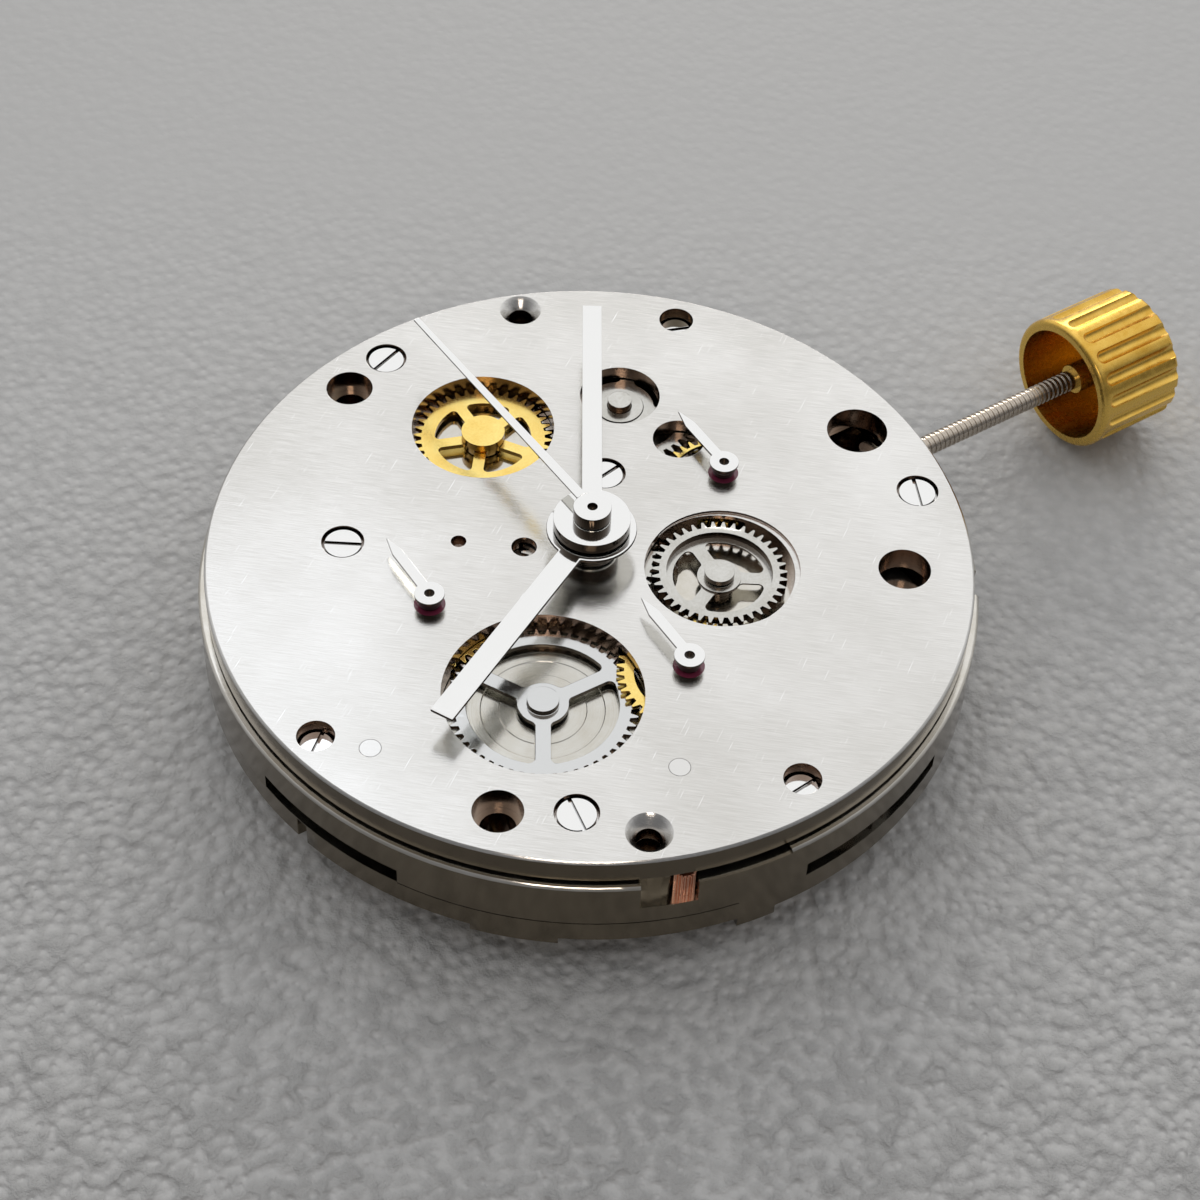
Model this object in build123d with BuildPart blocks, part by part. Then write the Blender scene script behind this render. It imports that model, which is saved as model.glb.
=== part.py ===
from build123d import *
from math import atan2, cos, degrees, hypot, pi, radians, sin, sqrt
import os

# A hand-wound chronograph movement lying on its back, dial side up. Millimetres.
# The origin is the hand axis at the dial seat; +X points along the stem to 3 o'clock.

# Plates, from the dial seat down
casing_radius = 15.65
plate_radius = 15.34
collar_radius = 14.90
dial_plate_thickness = 1.05
skin = 0.30
collar_height = 0.15
main_plate_thickness = 2.30
bridge_thickness = 1.05
edge_break = 0.10

dial_plate_low = -dial_plate_thickness
main_plate_low = dial_plate_low - main_plate_thickness
bridge_low = main_plate_low - bridge_thickness
skin_low = -skin

# Clearances
running_gap = 0.03
level_gap = 0.10
rim_gap = 0.15
seat_gap = 0.06
overrun = 0.50

# Heights of the wheel levels, named by the lowest and highest face of a wheel
wheel_thickness = 0.15
upper_top = -0.42
upper_low = upper_top - wheel_thickness
middle_top = -0.65
middle_thickness = 0.20
middle_low = middle_top - middle_thickness
sweep_top = -1.02
sweep_thickness = 0.18
sweep_low = sweep_top - sweep_thickness
recess_floor = sweep_low - level_gap

# Gear modules, each serving the wheels of one chain
hour_module = 0.132
minute_module = 0.1375
coupling_module = 0.1374
sweep_module = 0.145
barrel_module = 0.1325
train_module = 0.130
escape_module = 0.080
winding_module = 0.160

# Tooth profile: half width as share of the pitch, and reach in modules
tooth_shares = ((-0.30, -1.25), (-0.09, 1.00), (0.09, 1.00), (0.30, -1.25))
leaf_shares = ((-0.26, -1.30), (-0.10, 0.80), (0.10, 0.80), (0.26, -1.30))
fewest_wheel_teeth = 20
corner_share = 0.40

# Tooth counts
hour_teeth = 40
transfer_teeth = 39
hour_register_teeth = 40
minute_register_teeth = 36
cannon_teeth = 12
minute_teeth = 36
minute_pinion_teeth = 10
carrier_teeth = 40
driving_teeth = 48
setting_teeth = 28
fourth_register_teeth = 39
coupling_teeth = 52
disc_teeth = 60
sweep_teeth = 45
barrel_teeth = 80
second_teeth = 60
third_teeth = 50
fourth_teeth = 72
train_leaves = 10
escape_leaves = 8
escape_teeth = 15
ratchet_teeth = 64
crown_wheel_teeth = 29
column_teeth = 18
counter_teeth = 30

# Stem and crown, lying along +X
stem_height = -3.15
stem_radius = 0.45
stem_end = 25.65
crown_start = 24.75
crown_end = 29.05
crown_radius = 3.00
crown_wall = 0.45
crown_boss_radius = 0.65
crown_flutes = 18
flute_radius = 0.32
flute_offset = 0.08
crown_lip = 0.65
stem_travel = 0.70

# Hands: heights of their top faces above the dial seat
register_hand_top = 0.65
register_hand_thickness = 0.12
register_hand_length = 3.40
register_hand_width = 0.45
register_hub_radius = 0.60
register_pipe_radius = 0.45
register_pipe_flare = 0.10
jewel_radius = 0.62
post_radius = 0.20
hour_hand_top = 1.30
hour_hand_thickness = 0.18
hour_hand_length = 11.10
hour_hand_width = 1.00
hour_hub_radius = 1.80
hour_collet_radius = 1.10
hour_hand_angle = -152.6
minute_hand_top = 1.88
minute_hand_thickness = 0.16
minute_hand_length = 12.26
minute_hand_width = 0.80
minute_hub_radius = 1.53
minute_hub_thickness = 0.46
minute_hand_angle = 57.6
sweep_hand_top = 2.46
sweep_hand_thickness = 0.10
sweep_hand_length = 12.93
sweep_hand_width = 0.45
sweep_tip_width = 0.25
sweep_boss_radius = 0.755
sweep_boss_low = 1.93
sweep_boss_top = 2.50
sweep_hand_angle = 92.4

# Balance
balance_radius = 4.30
balance_rim = 0.55
balance_top = -4.55
balance_thickness = 0.40
hairspring_radius = 2.60
cock_top = -5.75
movement_low = -6.40


def spot(centre, distance, angle):
    """Point at a distance and an angle in degrees from a centre."""
    return (centre[0] + distance * cos(radians(angle)), centre[1] + distance * sin(radians(angle)))


def aim(start, end):
    """Direction in degrees from one point to another."""
    return degrees(atan2(end[1] - start[1], end[0] - start[0]))


def span(start, end):
    """Distance between two points."""
    return hypot(end[0] - start[0], end[1] - start[1])


def meet(start, start_reach, end, end_reach, side):
    """Point at one reach from the start and another from the end, left (1) or right (-1) of the line."""
    base = span(start, end)
    along = (start_reach ** 2 - end_reach ** 2 + base ** 2) / (2 * base)
    across = sqrt(start_reach ** 2 - along ** 2)
    foot = spot(start, along, aim(start, end))
    return spot(foot, across, aim(start, end) + 90 * side)


def reach(module, first_teeth, second_teeth_count):
    """Centre distance of two wheels in mesh."""
    return module * (first_teeth + second_teeth_count) / 2


def outer(module, teeth):
    """Radius over the tips of a wheel's teeth."""
    return module * (teeth / 2 + 1)


def mesh(start, start_teeth, start_phase, end, end_teeth):
    """Phase that sets a gap of the second wheel against a tooth of the first."""
    line = aim(start, end)
    lead = (start_phase - line) * start_teeth / 360
    return line + 180 + 360 / end_teeth * (0.5 - lead)


# Axes of the wheels
centre = (0, 0)
register_distance_share = 0.447
hour_register_distance_share = 0.450
register_3 = spot(centre, register_distance_share * casing_radius, 6.6)
register_9 = spot(centre, register_distance_share * casing_radius, 173.4)
register_6 = spot(centre, hour_register_distance_share * casing_radius, -90)

minute_reach = reach(minute_module, minute_teeth, cannon_teeth)
minute_at = spot(centre, minute_reach, 113.2)
carrier_reach = reach(minute_module, minute_teeth, carrier_teeth)
carrier_at = spot(minute_at, carrier_reach, 77.3)
driving_reach = reach(minute_module, carrier_teeth, driving_teeth)
barrel_at = spot(carrier_at, driving_reach, -13.0)
setting_reach = reach(minute_module, driving_teeth, setting_teeth)
setting_at = spot(barrel_at, setting_reach, -52.9)
transfer_reach = reach(hour_module, hour_teeth, transfer_teeth)
transfer_register_reach = reach(hour_module, hour_register_teeth, transfer_teeth)
transfer_at = meet(centre, transfer_reach, register_6, transfer_register_reach, 1)
coupling_reach = reach(sweep_module, disc_teeth, sweep_teeth)
register_coupling_reach = reach(coupling_module, fourth_register_teeth, coupling_teeth)
coupling_at = meet(centre, coupling_reach, register_9, register_coupling_reach, 1)

second_at = spot(barrel_at, reach(barrel_module, barrel_teeth, train_leaves), 191)
third_reach = reach(train_module, second_teeth, train_leaves)
fourth_reach = reach(train_module, third_teeth, train_leaves)
third_at = meet(second_at, third_reach, register_9, fourth_reach, -1)
escape_line = -87.65
escape_at = spot(register_9, reach(escape_module, fourth_teeth, escape_leaves), escape_line)
escape_radius = 2.10
pallet_distance = 2.55
pallet_at = spot(escape_at, pallet_distance, escape_line)
balance_distance = 2.70
balance_at = spot(pallet_at, balance_distance, escape_line)
crown_wheel_at = spot(barrel_at, reach(winding_module, ratchet_teeth, crown_wheel_teeth), -47.2)

# Tooth phases, so that meshed wheels stand tooth in gap at rest
hour_phase = 0
cannon_phase = 0
minute_phase = mesh(centre, cannon_teeth, cannon_phase, minute_at, minute_teeth)
minute_pinion_phase = mesh(centre, hour_teeth, hour_phase, minute_at, minute_pinion_teeth)
carrier_phase = mesh(minute_at, minute_teeth, minute_phase, carrier_at, carrier_teeth)
driving_phase = mesh(carrier_at, carrier_teeth, carrier_phase, barrel_at, driving_teeth)
setting_phase = mesh(barrel_at, driving_teeth, driving_phase, setting_at, setting_teeth)
transfer_phase = mesh(centre, hour_teeth, hour_phase, transfer_at, transfer_teeth)
hour_register_phase = mesh(transfer_at, transfer_teeth, transfer_phase, register_6, hour_register_teeth)
sweep_phase = 0
disc_phase = mesh(centre, sweep_teeth, sweep_phase, coupling_at, disc_teeth)
coupling_phase = 0
fourth_register_phase = mesh(coupling_at, coupling_teeth, coupling_phase, register_9, fourth_register_teeth)
barrel_phase = 0
second_pinion_phase = mesh(barrel_at, barrel_teeth, barrel_phase, second_at, train_leaves)
second_phase = 0
third_pinion_phase = mesh(second_at, second_teeth, second_phase, third_at, train_leaves)
third_phase = 0
fourth_pinion_phase = mesh(third_at, third_teeth, third_phase, register_9, train_leaves)
fourth_phase = 0
escape_pinion_phase = mesh(register_9, fourth_teeth, fourth_phase, escape_at, escape_leaves)
ratchet_phase = 0
crown_wheel_phase = mesh(barrel_at, ratchet_teeth, ratchet_phase, crown_wheel_at, crown_wheel_teeth)


def slab(points, low, height, mode=Mode.ADD):
    """Flat piece with a straight-sided outline."""
    with BuildSketch(Plane.XY.offset(low)) as profile:
        with BuildLine():
            Polyline(*points, close=True)
        make_face()
    extrude(profile.sketch, amount=height, mode=mode)


def drum(at, radius, low, top, mode=Mode.ADD):
    """Upright cylinder between two heights."""
    with BuildSketch(Plane.XY.offset(low)) as profile:
        with Locations(at):
            Circle(radius)
    extrude(profile.sketch, amount=top - low, mode=mode)


def arm(start, end, width, low, top, mode=Mode.ADD):
    """Bar with round ends between two places."""
    middle = ((start[0] + end[0]) / 2, (start[1] + end[1]) / 2)
    with BuildSketch(Plane.XY.offset(low)) as profile:
        with Locations(middle):
            SlotCenterToCenter(span(start, end), width, rotation=aim(start, end))
    extrude(profile.sketch, amount=top - low, mode=mode)


def lever(start, start_radius, end, end_radius, low, top, mode=Mode.ADD):
    """Tapered bar with round ends of two radii."""
    with BuildSketch(Plane.XY.offset(low)) as profile:
        with Locations(start):
            Circle(start_radius)
        with Locations(end):
            Circle(end_radius)
        make_hull()
    extrude(profile.sketch, amount=top - low, mode=mode)


def sector(inner, outside, first, last, low, top, mode=Mode.ADD):
    """Piece of a ring about the centre between two angles."""
    with BuildSketch(Plane.XY.offset(low)) as profile:
        with BuildLine():
            near = CenterArc(centre, inner, first, last - first)
            far = CenterArc(centre, outside, first, last - first)
            Line(near @ 0, far @ 0)
            Line(near @ 1, far @ 1)
        make_face()
    extrude(profile.sketch, amount=top - low, mode=mode)


def rod(radius, start, end, mode=Mode.ADD):
    """Cylinder on the stem's axis between two places along X."""
    with BuildSketch(Plane.YZ.offset(start)) as profile:
        with Locations((0, stem_height)):
            Circle(radius)
    extrude(profile.sketch, amount=end - start, mode=mode)


def gear(at, teeth, module, phase, low, top):
    """Solid toothed disc."""
    profile = leaf_shares if teeth < fewest_wheel_teeth else tooth_shares
    points = []
    for tooth in range(teeth):
        for share, height in profile:
            radius = module * (teeth / 2 + height)
            points.append(spot(at, radius, phase + 360 * (tooth + share) / teeth))
    slab(points, low, top - low)


def spoke(at, rim, hub, arms, width, phase, low, top):
    """Opens windows between hub and rim and leaves the arms, with round corners where they meet."""
    with BuildSketch(Plane.XY.offset(low)) as windows:
        with Locations(at):
            Circle(rim)
            Circle(hub, mode=Mode.SUBTRACT)
        for number in range(arms):
            angle = phase + 360 * number / arms
            with Locations(spot(at, rim / 2, angle)):
                Rectangle(rim + width, width, rotation=angle, mode=Mode.SUBTRACT)
        fillet(windows.vertices(), width * corner_share)
    extrude(windows.sketch, amount=top - low, mode=Mode.SUBTRACT)


def slotted(at, radius, low, top, angle):
    """Round screw head with its slot."""
    drum(at, radius, low, top)
    slot_start = spot(at, radius + slot_width, angle)
    slot_end = spot(at, radius + slot_width, angle + 180)
    arm(slot_start, slot_end, slot_width, top - slot_depth, top, Mode.SUBTRACT)


# Openings of the dial-side plate: places as share of the casing radius and angle
carrier_window = 2.96
transfer_window = 3.01
coupling_window = 3.90
barrel_window = 1.68
register_window = 1.08
register_window_share = 0.464
register_window_at = spot(centre, register_window_share * casing_radius, 27.4)

screw_recess_radius = 0.86
slot_width = 0.16
slot_depth = 0.15
screw_head_radius = 0.74
screw_head_height = 0.32
screw_sink = 0.10
shank_radius = 0.35
plate_screw_shares = ((0.884, 96.6), (0.885, -17.4), (0.632, 146.7), (0.834, -124.6), (0.273, 49.9))
plate_screw_slots = (20, 65, -35, 80, 10)
plate_screw_depth = 1.60
deep_screw_hole_radius = 0.73
deep_screw_head_radius = 0.62
deep_screw_top = -0.55
deep_screw_shares = ((0.895, 42.3), (0.903, -169.1), (0.881, -87.5))
deep_screw_slots = (-20, 40, 5)
deep_hole_radius = 0.97
deep_hole_step_radius = 0.70
deep_hole_shares = ((0.862, 106.4), (0.861, -137.0))
dial_foot_radius = 0.50
dial_foot_mouth_radius = 0.90
dial_foot_depth = 2.20
dial_foot_shares = ((0.911, 70.0), (0.897, -113.6))
keyless_hole_radius = 1.26
keyless_hole_shares = (0.839, -0.3)
yoke_hole_radius = 1.05
yoke_hole_shares = (0.801, -35.8)
small_hole_radius = 0.51
small_hole_shares = (0.170, 146.3)
pin_prick_radius = 0.31
pin_prick_depth = 0.55
pin_prick_shares = (0.338, 144.4)
pin_radius = 0.42
pin_length = 1.85
pin_shares = ((0.838, -161.2), (0.726, -105.4))
crescent_radius = 3.08
crescent_offset = 0.16
crescent_depth = 0.12


def polar(place_shares):
    """Place on the movement from a share of the casing radius and an angle."""
    return spot(centre, place_shares[0] * casing_radius, place_shares[1])


# Arbor and pivot sizes
arbor_radius = 0.25
pivot_radius = 0.12
pivot_hole_radius = pivot_radius + running_gap
post_hole_radius = post_radius + running_gap
hour_pipe_radius = 0.68
hour_bore_radius = 0.46
cannon_radius = 0.42
cannon_bore_radius = post_hole_radius
stud_radius = 0.32
stud_head_radius = 0.60
barrel_hub_radius = 1.00
barrel_arbor_radius = 0.50
setting_pipe_radius = 0.60
minute_pocket_radius = 0.95
pivot_depth = 0.32
runner_radius = 0.45
runner_hole_radius = 0.50
bridge_jewel_radius = 0.50

# Train levels
second_top = -1.95
third_pinion_top = -1.90
third_pinion_low = -2.25
third_top = -2.70
fourth_top = -3.10
fourth_pinion_top = -2.55
fourth_pinion_low = -3.00
barrel_top = -2.25
barrel_teeth_low = -2.60
barrel_low = -3.85
barrel_drum_radius = 5.00
barrel_hub_top = -0.60
second_pinion_top = -2.20
second_pinion_low = -2.62
escape_top = -2.60
escape_pinion_low = -3.32
fork_top = -2.55
fork_low = -2.80
roller_top = -2.90
setting_low_top = -1.85
setting_low = -2.05
winding_top = -4.45
winding_low = -4.85
chronograph_top = -5.05

# Keyless works
keyless_start = 7.95
keyless_half_width = 1.35
keyless_top = -1.80
winding_opening_start = 11.85
winding_opening_end = 13.50
stem_hole_radius = stem_radius + running_gap
yoke_post_shares = yoke_hole_shares
yoke_post_at = polar(yoke_post_shares)
sliding_start = 8.75
sliding_end = 10.95
sliding_radius = 1.05
sliding_groove_radius = 0.70
sliding_groove_at = 10.20
sliding_groove_width = 0.56
yoke_tip_at = (sliding_groove_at, 0)
yoke_top = -1.45
yoke_low = -1.75
yoke_recess_width = 2.60
lever_post_shares = (0.912, -8.9)
lever_post_at = polar(lever_post_shares)
stem_groove_at = 13.90
stem_groove_radius = 0.28
stem_groove_width = 0.50
lever_tip_at = (stem_groove_at, 0)
lever_tip_out_at = (stem_groove_at + stem_travel, 0)
lever_recess_width = 1.05
keyless_end = lever_tip_out_at[0] + post_radius + rim_gap

# Column wheel and side openings
column_shares = (0.823, -75.2)
column_at = polar(column_shares)
column_radius = 2.25
column_pocket_radius = 2.40
column_top = -2.70
column_ring_low = -3.00
rim_inner = 14.30
rim_first = -165.5
rim_last = -36.5
slot_depth_radius = 14.00

upper_pockets = (
    (centre, outer(hour_module, hour_teeth)),
    (transfer_at, outer(hour_module, transfer_teeth)),
    (register_6, outer(hour_module, hour_register_teeth)),
    (register_3, outer(hour_module, minute_register_teeth)),
)
middle_pockets = (
    (minute_at, outer(minute_module, minute_teeth)),
    (carrier_at, outer(minute_module, carrier_teeth) - rim_gap),
    (barrel_at, outer(minute_module, driving_teeth)),
    (setting_at, outer(minute_module, setting_teeth)),
    (register_9, outer(coupling_module, fourth_register_teeth)),
)
lower_pockets = (
    (centre, outer(sweep_module, sweep_teeth)),
    (coupling_at, outer(sweep_module, disc_teeth)),
)
train_pockets = (
    (barrel_at, outer(barrel_module, barrel_teeth), barrel_top),
    (second_at, outer(train_module, second_teeth), second_top),
    (third_at, minute_pocket_radius - rim_gap, third_pinion_top),
    (third_at, outer(train_module, third_teeth), third_top),
    (register_9, minute_pocket_radius - rim_gap, fourth_pinion_top),
    (register_9, outer(escape_module, fourth_teeth), fourth_top),
    (escape_at, escape_radius, escape_top),
    (setting_at, outer(minute_module, setting_teeth), setting_low_top),
)

# Small sizes of the fixed works
fork_pocket_width = 2.60
roller_pocket_radius = 1.30
counter_depth = 0.75
stud_depth = 0.45
stem_pivot_depth = 0.75
post_depth = 0.50
idler_posts = (
    (carrier_at, dial_plate_low - post_depth),
    (coupling_at, recess_floor - post_depth),
)
train_pivots = (
    (second_at, second_top + level_gap),
    (third_at, third_pinion_top + level_gap),
    (escape_at, escape_top + level_gap),
    (pallet_at, fork_top + level_gap),
    (balance_at, fork_top + 2 * level_gap),
)
keyless_cavity = (
    (keyless_start, -keyless_half_width),
    (keyless_end, -keyless_half_width),
    (keyless_end, keyless_half_width),
    (keyless_start, keyless_half_width),
)
hollow_inner = winding_opening_start
hollow_outer = keyless_end - lever_recess_width / 2
keyless_hollow = (
    (hollow_inner, -lever_recess_width),
    (hollow_outer, -lever_recess_width),
    (hollow_outer, lever_recess_width),
    (hollow_inner, lever_recess_width),
)
slot_top = -2.60
slot_low = -3.30
notch_top = dial_plate_low - collar_height
notch_low = -2.45
notch_stud_shares = (0.962, -108.9)
notch_stud_leaves = 16
notch_stud_module = 0.048
seam_width = 0.05
seam_depth = 0.10
shelf_low = -1.35
side_openings = (
    (-90.8, -63.4, slot_depth_radius, slot_low, slot_top),
    (-174.5, -149.5, slot_depth_radius, slot_low, slot_top),
    (-115.5, -107.5, collar_radius, notch_low, notch_top),
    (-112.0, -93.7, slot_depth_radius, shelf_low, dial_plate_low),
    (-36.0, -31.0, collar_radius, notch_low, notch_top),
    (-149.5, -101.3, casing_radius - seam_depth, main_plate_low - seam_width, main_plate_low),
)

rim_lugs = (
    (rim_inner + 3 * rim_gap, -138.7, -126.4, screw_head_height),
    (rim_inner, -101.3, -95.5, 1.5 * screw_head_height),
)

# Dial-side plate
with BuildPart() as dial_side_plate:
    drum(centre, plate_radius, dial_plate_low, 0)
    chamfer(dial_side_plate.edges().group_by(Axis.Z)[-1], edge_break)
    for at, radius in upper_pockets:
        drum(at, radius + rim_gap, dial_plate_low, skin_low, Mode.SUBTRACT)
    for at, radius in middle_pockets:
        drum(at, radius + rim_gap, dial_plate_low, middle_top + seat_gap, Mode.SUBTRACT)
    for at, radius in lower_pockets:
        drum(at, radius + rim_gap, dial_plate_low, sweep_top + seat_gap, Mode.SUBTRACT)
    drum(minute_at, minute_pocket_radius, dial_plate_low, upper_top + seat_gap, Mode.SUBTRACT)
    drum(minute_at, post_radius, dial_plate_low, skin_low / 2, Mode.SUBTRACT)
    drum(carrier_at, carrier_window, dial_plate_low, 0, Mode.SUBTRACT)
    drum(coupling_at, coupling_window, dial_plate_low, 0, Mode.SUBTRACT)
    drum(barrel_at, barrel_window, dial_plate_low, 0, Mode.SUBTRACT)
    drum(register_window_at, register_window, dial_plate_low, 0, Mode.SUBTRACT)
    drum(spot(transfer_at, crescent_offset, 0), crescent_radius, -crescent_depth, 0, Mode.SUBTRACT)
    drum(transfer_at, transfer_window, dial_plate_low, 0, Mode.SUBTRACT)
    for register in (register_3, register_6, register_9):
        drum(register, jewel_radius, dial_plate_low, 0, Mode.SUBTRACT)
    drum(centre, hour_pipe_radius + rim_gap / 2, dial_plate_low, 0, Mode.SUBTRACT)
    for place_shares in plate_screw_shares:
        recess_low = -screw_sink - screw_head_height
        drum(polar(place_shares), screw_recess_radius, recess_low, 0, Mode.SUBTRACT)
        drum(polar(place_shares), shank_radius, dial_plate_low, 0, Mode.SUBTRACT)
    for place_shares in deep_screw_shares:
        recess_low = deep_screw_top - screw_head_height
        drum(polar(place_shares), deep_screw_hole_radius, recess_low, 0, Mode.SUBTRACT)
        drum(polar(place_shares), shank_radius, dial_plate_low, 0, Mode.SUBTRACT)
    for place_shares in deep_hole_shares:
        drum(polar(place_shares), deep_hole_radius, dial_plate_low, 0, Mode.SUBTRACT)
    for place_shares in dial_foot_shares:
        with Locations((*polar(place_shares), 0)):
            CounterSinkHole(dial_foot_radius, dial_foot_mouth_radius, dial_plate_thickness + overrun)
    drum(polar(keyless_hole_shares), keyless_hole_radius, dial_plate_low, 0, Mode.SUBTRACT)
    drum(polar(yoke_hole_shares), yoke_hole_radius, dial_plate_low, 0, Mode.SUBTRACT)
    drum(polar(small_hole_shares), small_hole_radius, dial_plate_low, 0, Mode.SUBTRACT)
    drum(polar(pin_prick_shares), pin_prick_radius, -pin_prick_depth, 0, Mode.SUBTRACT)
    for place_shares in pin_shares:
        drum(polar(place_shares), pin_radius, dial_plate_low, 0, Mode.SUBTRACT)
dial_side_plate.part.label = "dial_side_plate"

# Main plate: collar, flange and the rim that reaches down beside the balance
flange_top = dial_plate_low - collar_height
with BuildPart() as main_plate:
    drum(centre, casing_radius, main_plate_low, flange_top)
    chamfer(main_plate.edges().group_by(Axis.Z)[-1], edge_break)
    drum(centre, collar_radius, flange_top, dial_plate_low)
    sector(rim_inner, casing_radius, rim_first, rim_last, bridge_low, main_plate_low)
    for inner, first, last, drop in rim_lugs:
        sector(inner, casing_radius, first, last, bridge_low - drop, bridge_low)
    for at, radius in lower_pockets:
        drum(at, radius + rim_gap, recess_floor, dial_plate_low, Mode.SUBTRACT)
    for at, radius, top in train_pockets:
        drum(at, radius + rim_gap, main_plate_low, top + level_gap, Mode.SUBTRACT)
    arm(escape_at, balance_at, fork_pocket_width, main_plate_low, fork_top + level_gap, Mode.SUBTRACT)
    drum(balance_at, roller_pocket_radius, main_plate_low, roller_top + level_gap, Mode.SUBTRACT)
    drum(balance_at, fork_pocket_width / 2, main_plate_low, fork_top + 2 * level_gap, Mode.SUBTRACT)
    drum(barrel_at, barrel_hub_radius + level_gap, barrel_top, dial_plate_low, Mode.SUBTRACT)
    drum(centre, runner_hole_radius, main_plate_low, dial_plate_low, Mode.SUBTRACT)
    drum(register_3, post_hole_radius, main_plate_low, dial_plate_low, Mode.SUBTRACT)
    drum(register_6, post_hole_radius, dial_plate_low - counter_depth, dial_plate_low, Mode.SUBTRACT)
    drum(register_9, post_hole_radius, fourth_pinion_top, dial_plate_low, Mode.SUBTRACT)
    drum(setting_at, setting_pipe_radius + running_gap, setting_low_top, dial_plate_low, Mode.SUBTRACT)
    for at, low in idler_posts:
        drum(at, post_hole_radius, low - seat_gap, dial_plate_low, Mode.SUBTRACT)
    drum(transfer_at, stud_radius, dial_plate_low - stud_depth, dial_plate_low, Mode.SUBTRACT)
    for at, top in train_pivots:
        drum(at, pivot_hole_radius, main_plate_low, top + pivot_depth + seat_gap, Mode.SUBTRACT)
    for place_shares in plate_screw_shares + deep_screw_shares:
        drum(polar(place_shares), shank_radius, -plate_screw_depth, dial_plate_low, Mode.SUBTRACT)
    for place_shares in deep_hole_shares:
        drum(polar(place_shares), deep_hole_step_radius, main_plate_low, dial_plate_low, Mode.SUBTRACT)
    for place_shares in dial_foot_shares:
        drum(polar(place_shares), dial_foot_radius, -dial_foot_depth, dial_plate_low, Mode.SUBTRACT)
    for place_shares in pin_shares:
        drum(polar(place_shares), pin_radius, -pin_length, dial_plate_low, Mode.SUBTRACT)
    arm(yoke_post_at, yoke_tip_at, yoke_recess_width, keyless_top, dial_plate_low, Mode.SUBTRACT)
    arm(lever_post_at, lever_tip_at, lever_recess_width, keyless_top, dial_plate_low, Mode.SUBTRACT)
    arm(lever_post_at, lever_tip_out_at, lever_recess_width, keyless_top, yoke_top + level_gap, Mode.SUBTRACT)
    slab(keyless_cavity, main_plate_low, keyless_top - main_plate_low, Mode.SUBTRACT)
    slab(keyless_hollow, keyless_top, dial_plate_low - keyless_top, Mode.SUBTRACT)
    drum(yoke_post_at, post_radius, keyless_top - stud_depth, keyless_top, Mode.SUBTRACT)
    drum(lever_post_at, post_radius, keyless_top - stud_depth, keyless_top, Mode.SUBTRACT)
    rod(stem_hole_radius, keyless_end, casing_radius + overrun, Mode.SUBTRACT)
    rod(arbor_radius + running_gap, keyless_start - stem_pivot_depth, keyless_start, Mode.SUBTRACT)
    drum(column_at, column_pocket_radius, bridge_low, column_top + level_gap, Mode.SUBTRACT)
    for first, last, depth_radius, low, top in side_openings:
        sector(depth_radius, casing_radius + overrun, first, last, low, top, Mode.SUBTRACT)
    drum(polar(notch_stud_shares), outer(notch_stud_module, notch_stud_leaves) + seat_gap,
         notch_low, notch_top, Mode.SUBTRACT)
main_plate.part.label = "main_plate"

# Bridges: one outline each, cut from a disc of the casing's size
far = 2 * casing_radius
bridge_corner = 9.30
split_at = spot(barrel_at, barrel_drum_radius + 2.5 * rim_gap, 191)
corner_at = spot(split_at, bridge_corner, -79)
barrel_bridge_outline = (
    spot(split_at, far, 101),
    corner_at,
    spot(corner_at, far, -28),
    spot(centre, 2 * far, 30),
)
split_train_at = spot(split_at, rim_gap, 191)
corner_train_at = spot(split_train_at, bridge_corner, -79)
train_bridge_outline = (
    spot(split_train_at, far, 101),
    corner_train_at,
    (-far, corner_train_at[1]),
    (-far, far),
)
bridge_jewels = (second_at, third_at, register_9, escape_at)
jewel_thickness = 0.30
bridge_screw_shares = (
    ("barrel_bridge", 0.932, 22.0),
    ("barrel_bridge", 0.880, 85.0),
    ("barrel_bridge", 0.700, -19.0),
    ("train_bridge", 0.892, 150.0),
    ("train_bridge", 0.880, 113.0),
    ("train_bridge", 0.880, -177.0),
)
bridge_screw_radius = 0.80
bridge_screw_sink = 0.45
bridge_foot_shares = ((0.232, 129.4), (0.860, -22.0), (0.845, -93.9), (0.800, 101.7))
bridge_foot_tops = (bridge_low, bridge_low, main_plate_low, bridge_low)
foot_radius = 0.90
cock_foot_shares = (0.815, -157.2)
cock_foot_at = polar(cock_foot_shares)
cock_foot_radius = 1.10
cock_end_radius = 1.60
cock_stud_depth = 0.20
winding_opening = (
    (winding_opening_start, -keyless_half_width),
    (winding_opening_end, -keyless_half_width),
    (winding_opening_end, keyless_half_width),
    (winding_opening_start, keyless_half_width),
)
crown_core_radius = 0.55
core_depth = 0.35
click_reach = 6.40
click_at = spot(barrel_at, click_reach, -110)
pallet_bridge_width = 1.50
pallet_bridge_low = -3.95
pallet_bridge_half = 2.40
pallet_left = spot(pallet_at, pallet_bridge_half, 180)
pallet_right = spot(pallet_at, pallet_bridge_half, 0)
cock_jewel_radius = 0.70
chronograph_bridge_top = -5.85
bridge_arm_width = 1.70
foot_points = [polar(place_shares) for place_shares in bridge_foot_shares]
bridge_arms = (
    (foot_points[3], foot_points[0]),
    (foot_points[0], centre),
    (centre, register_3),
    (register_3, foot_points[1]),
    (foot_points[1], column_at),
    (column_at, foot_points[2]),
)
bridge_bores = (
    (centre, pivot_hole_radius),
    (register_3, pivot_hole_radius),
    (column_at, stud_radius),
)


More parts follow.
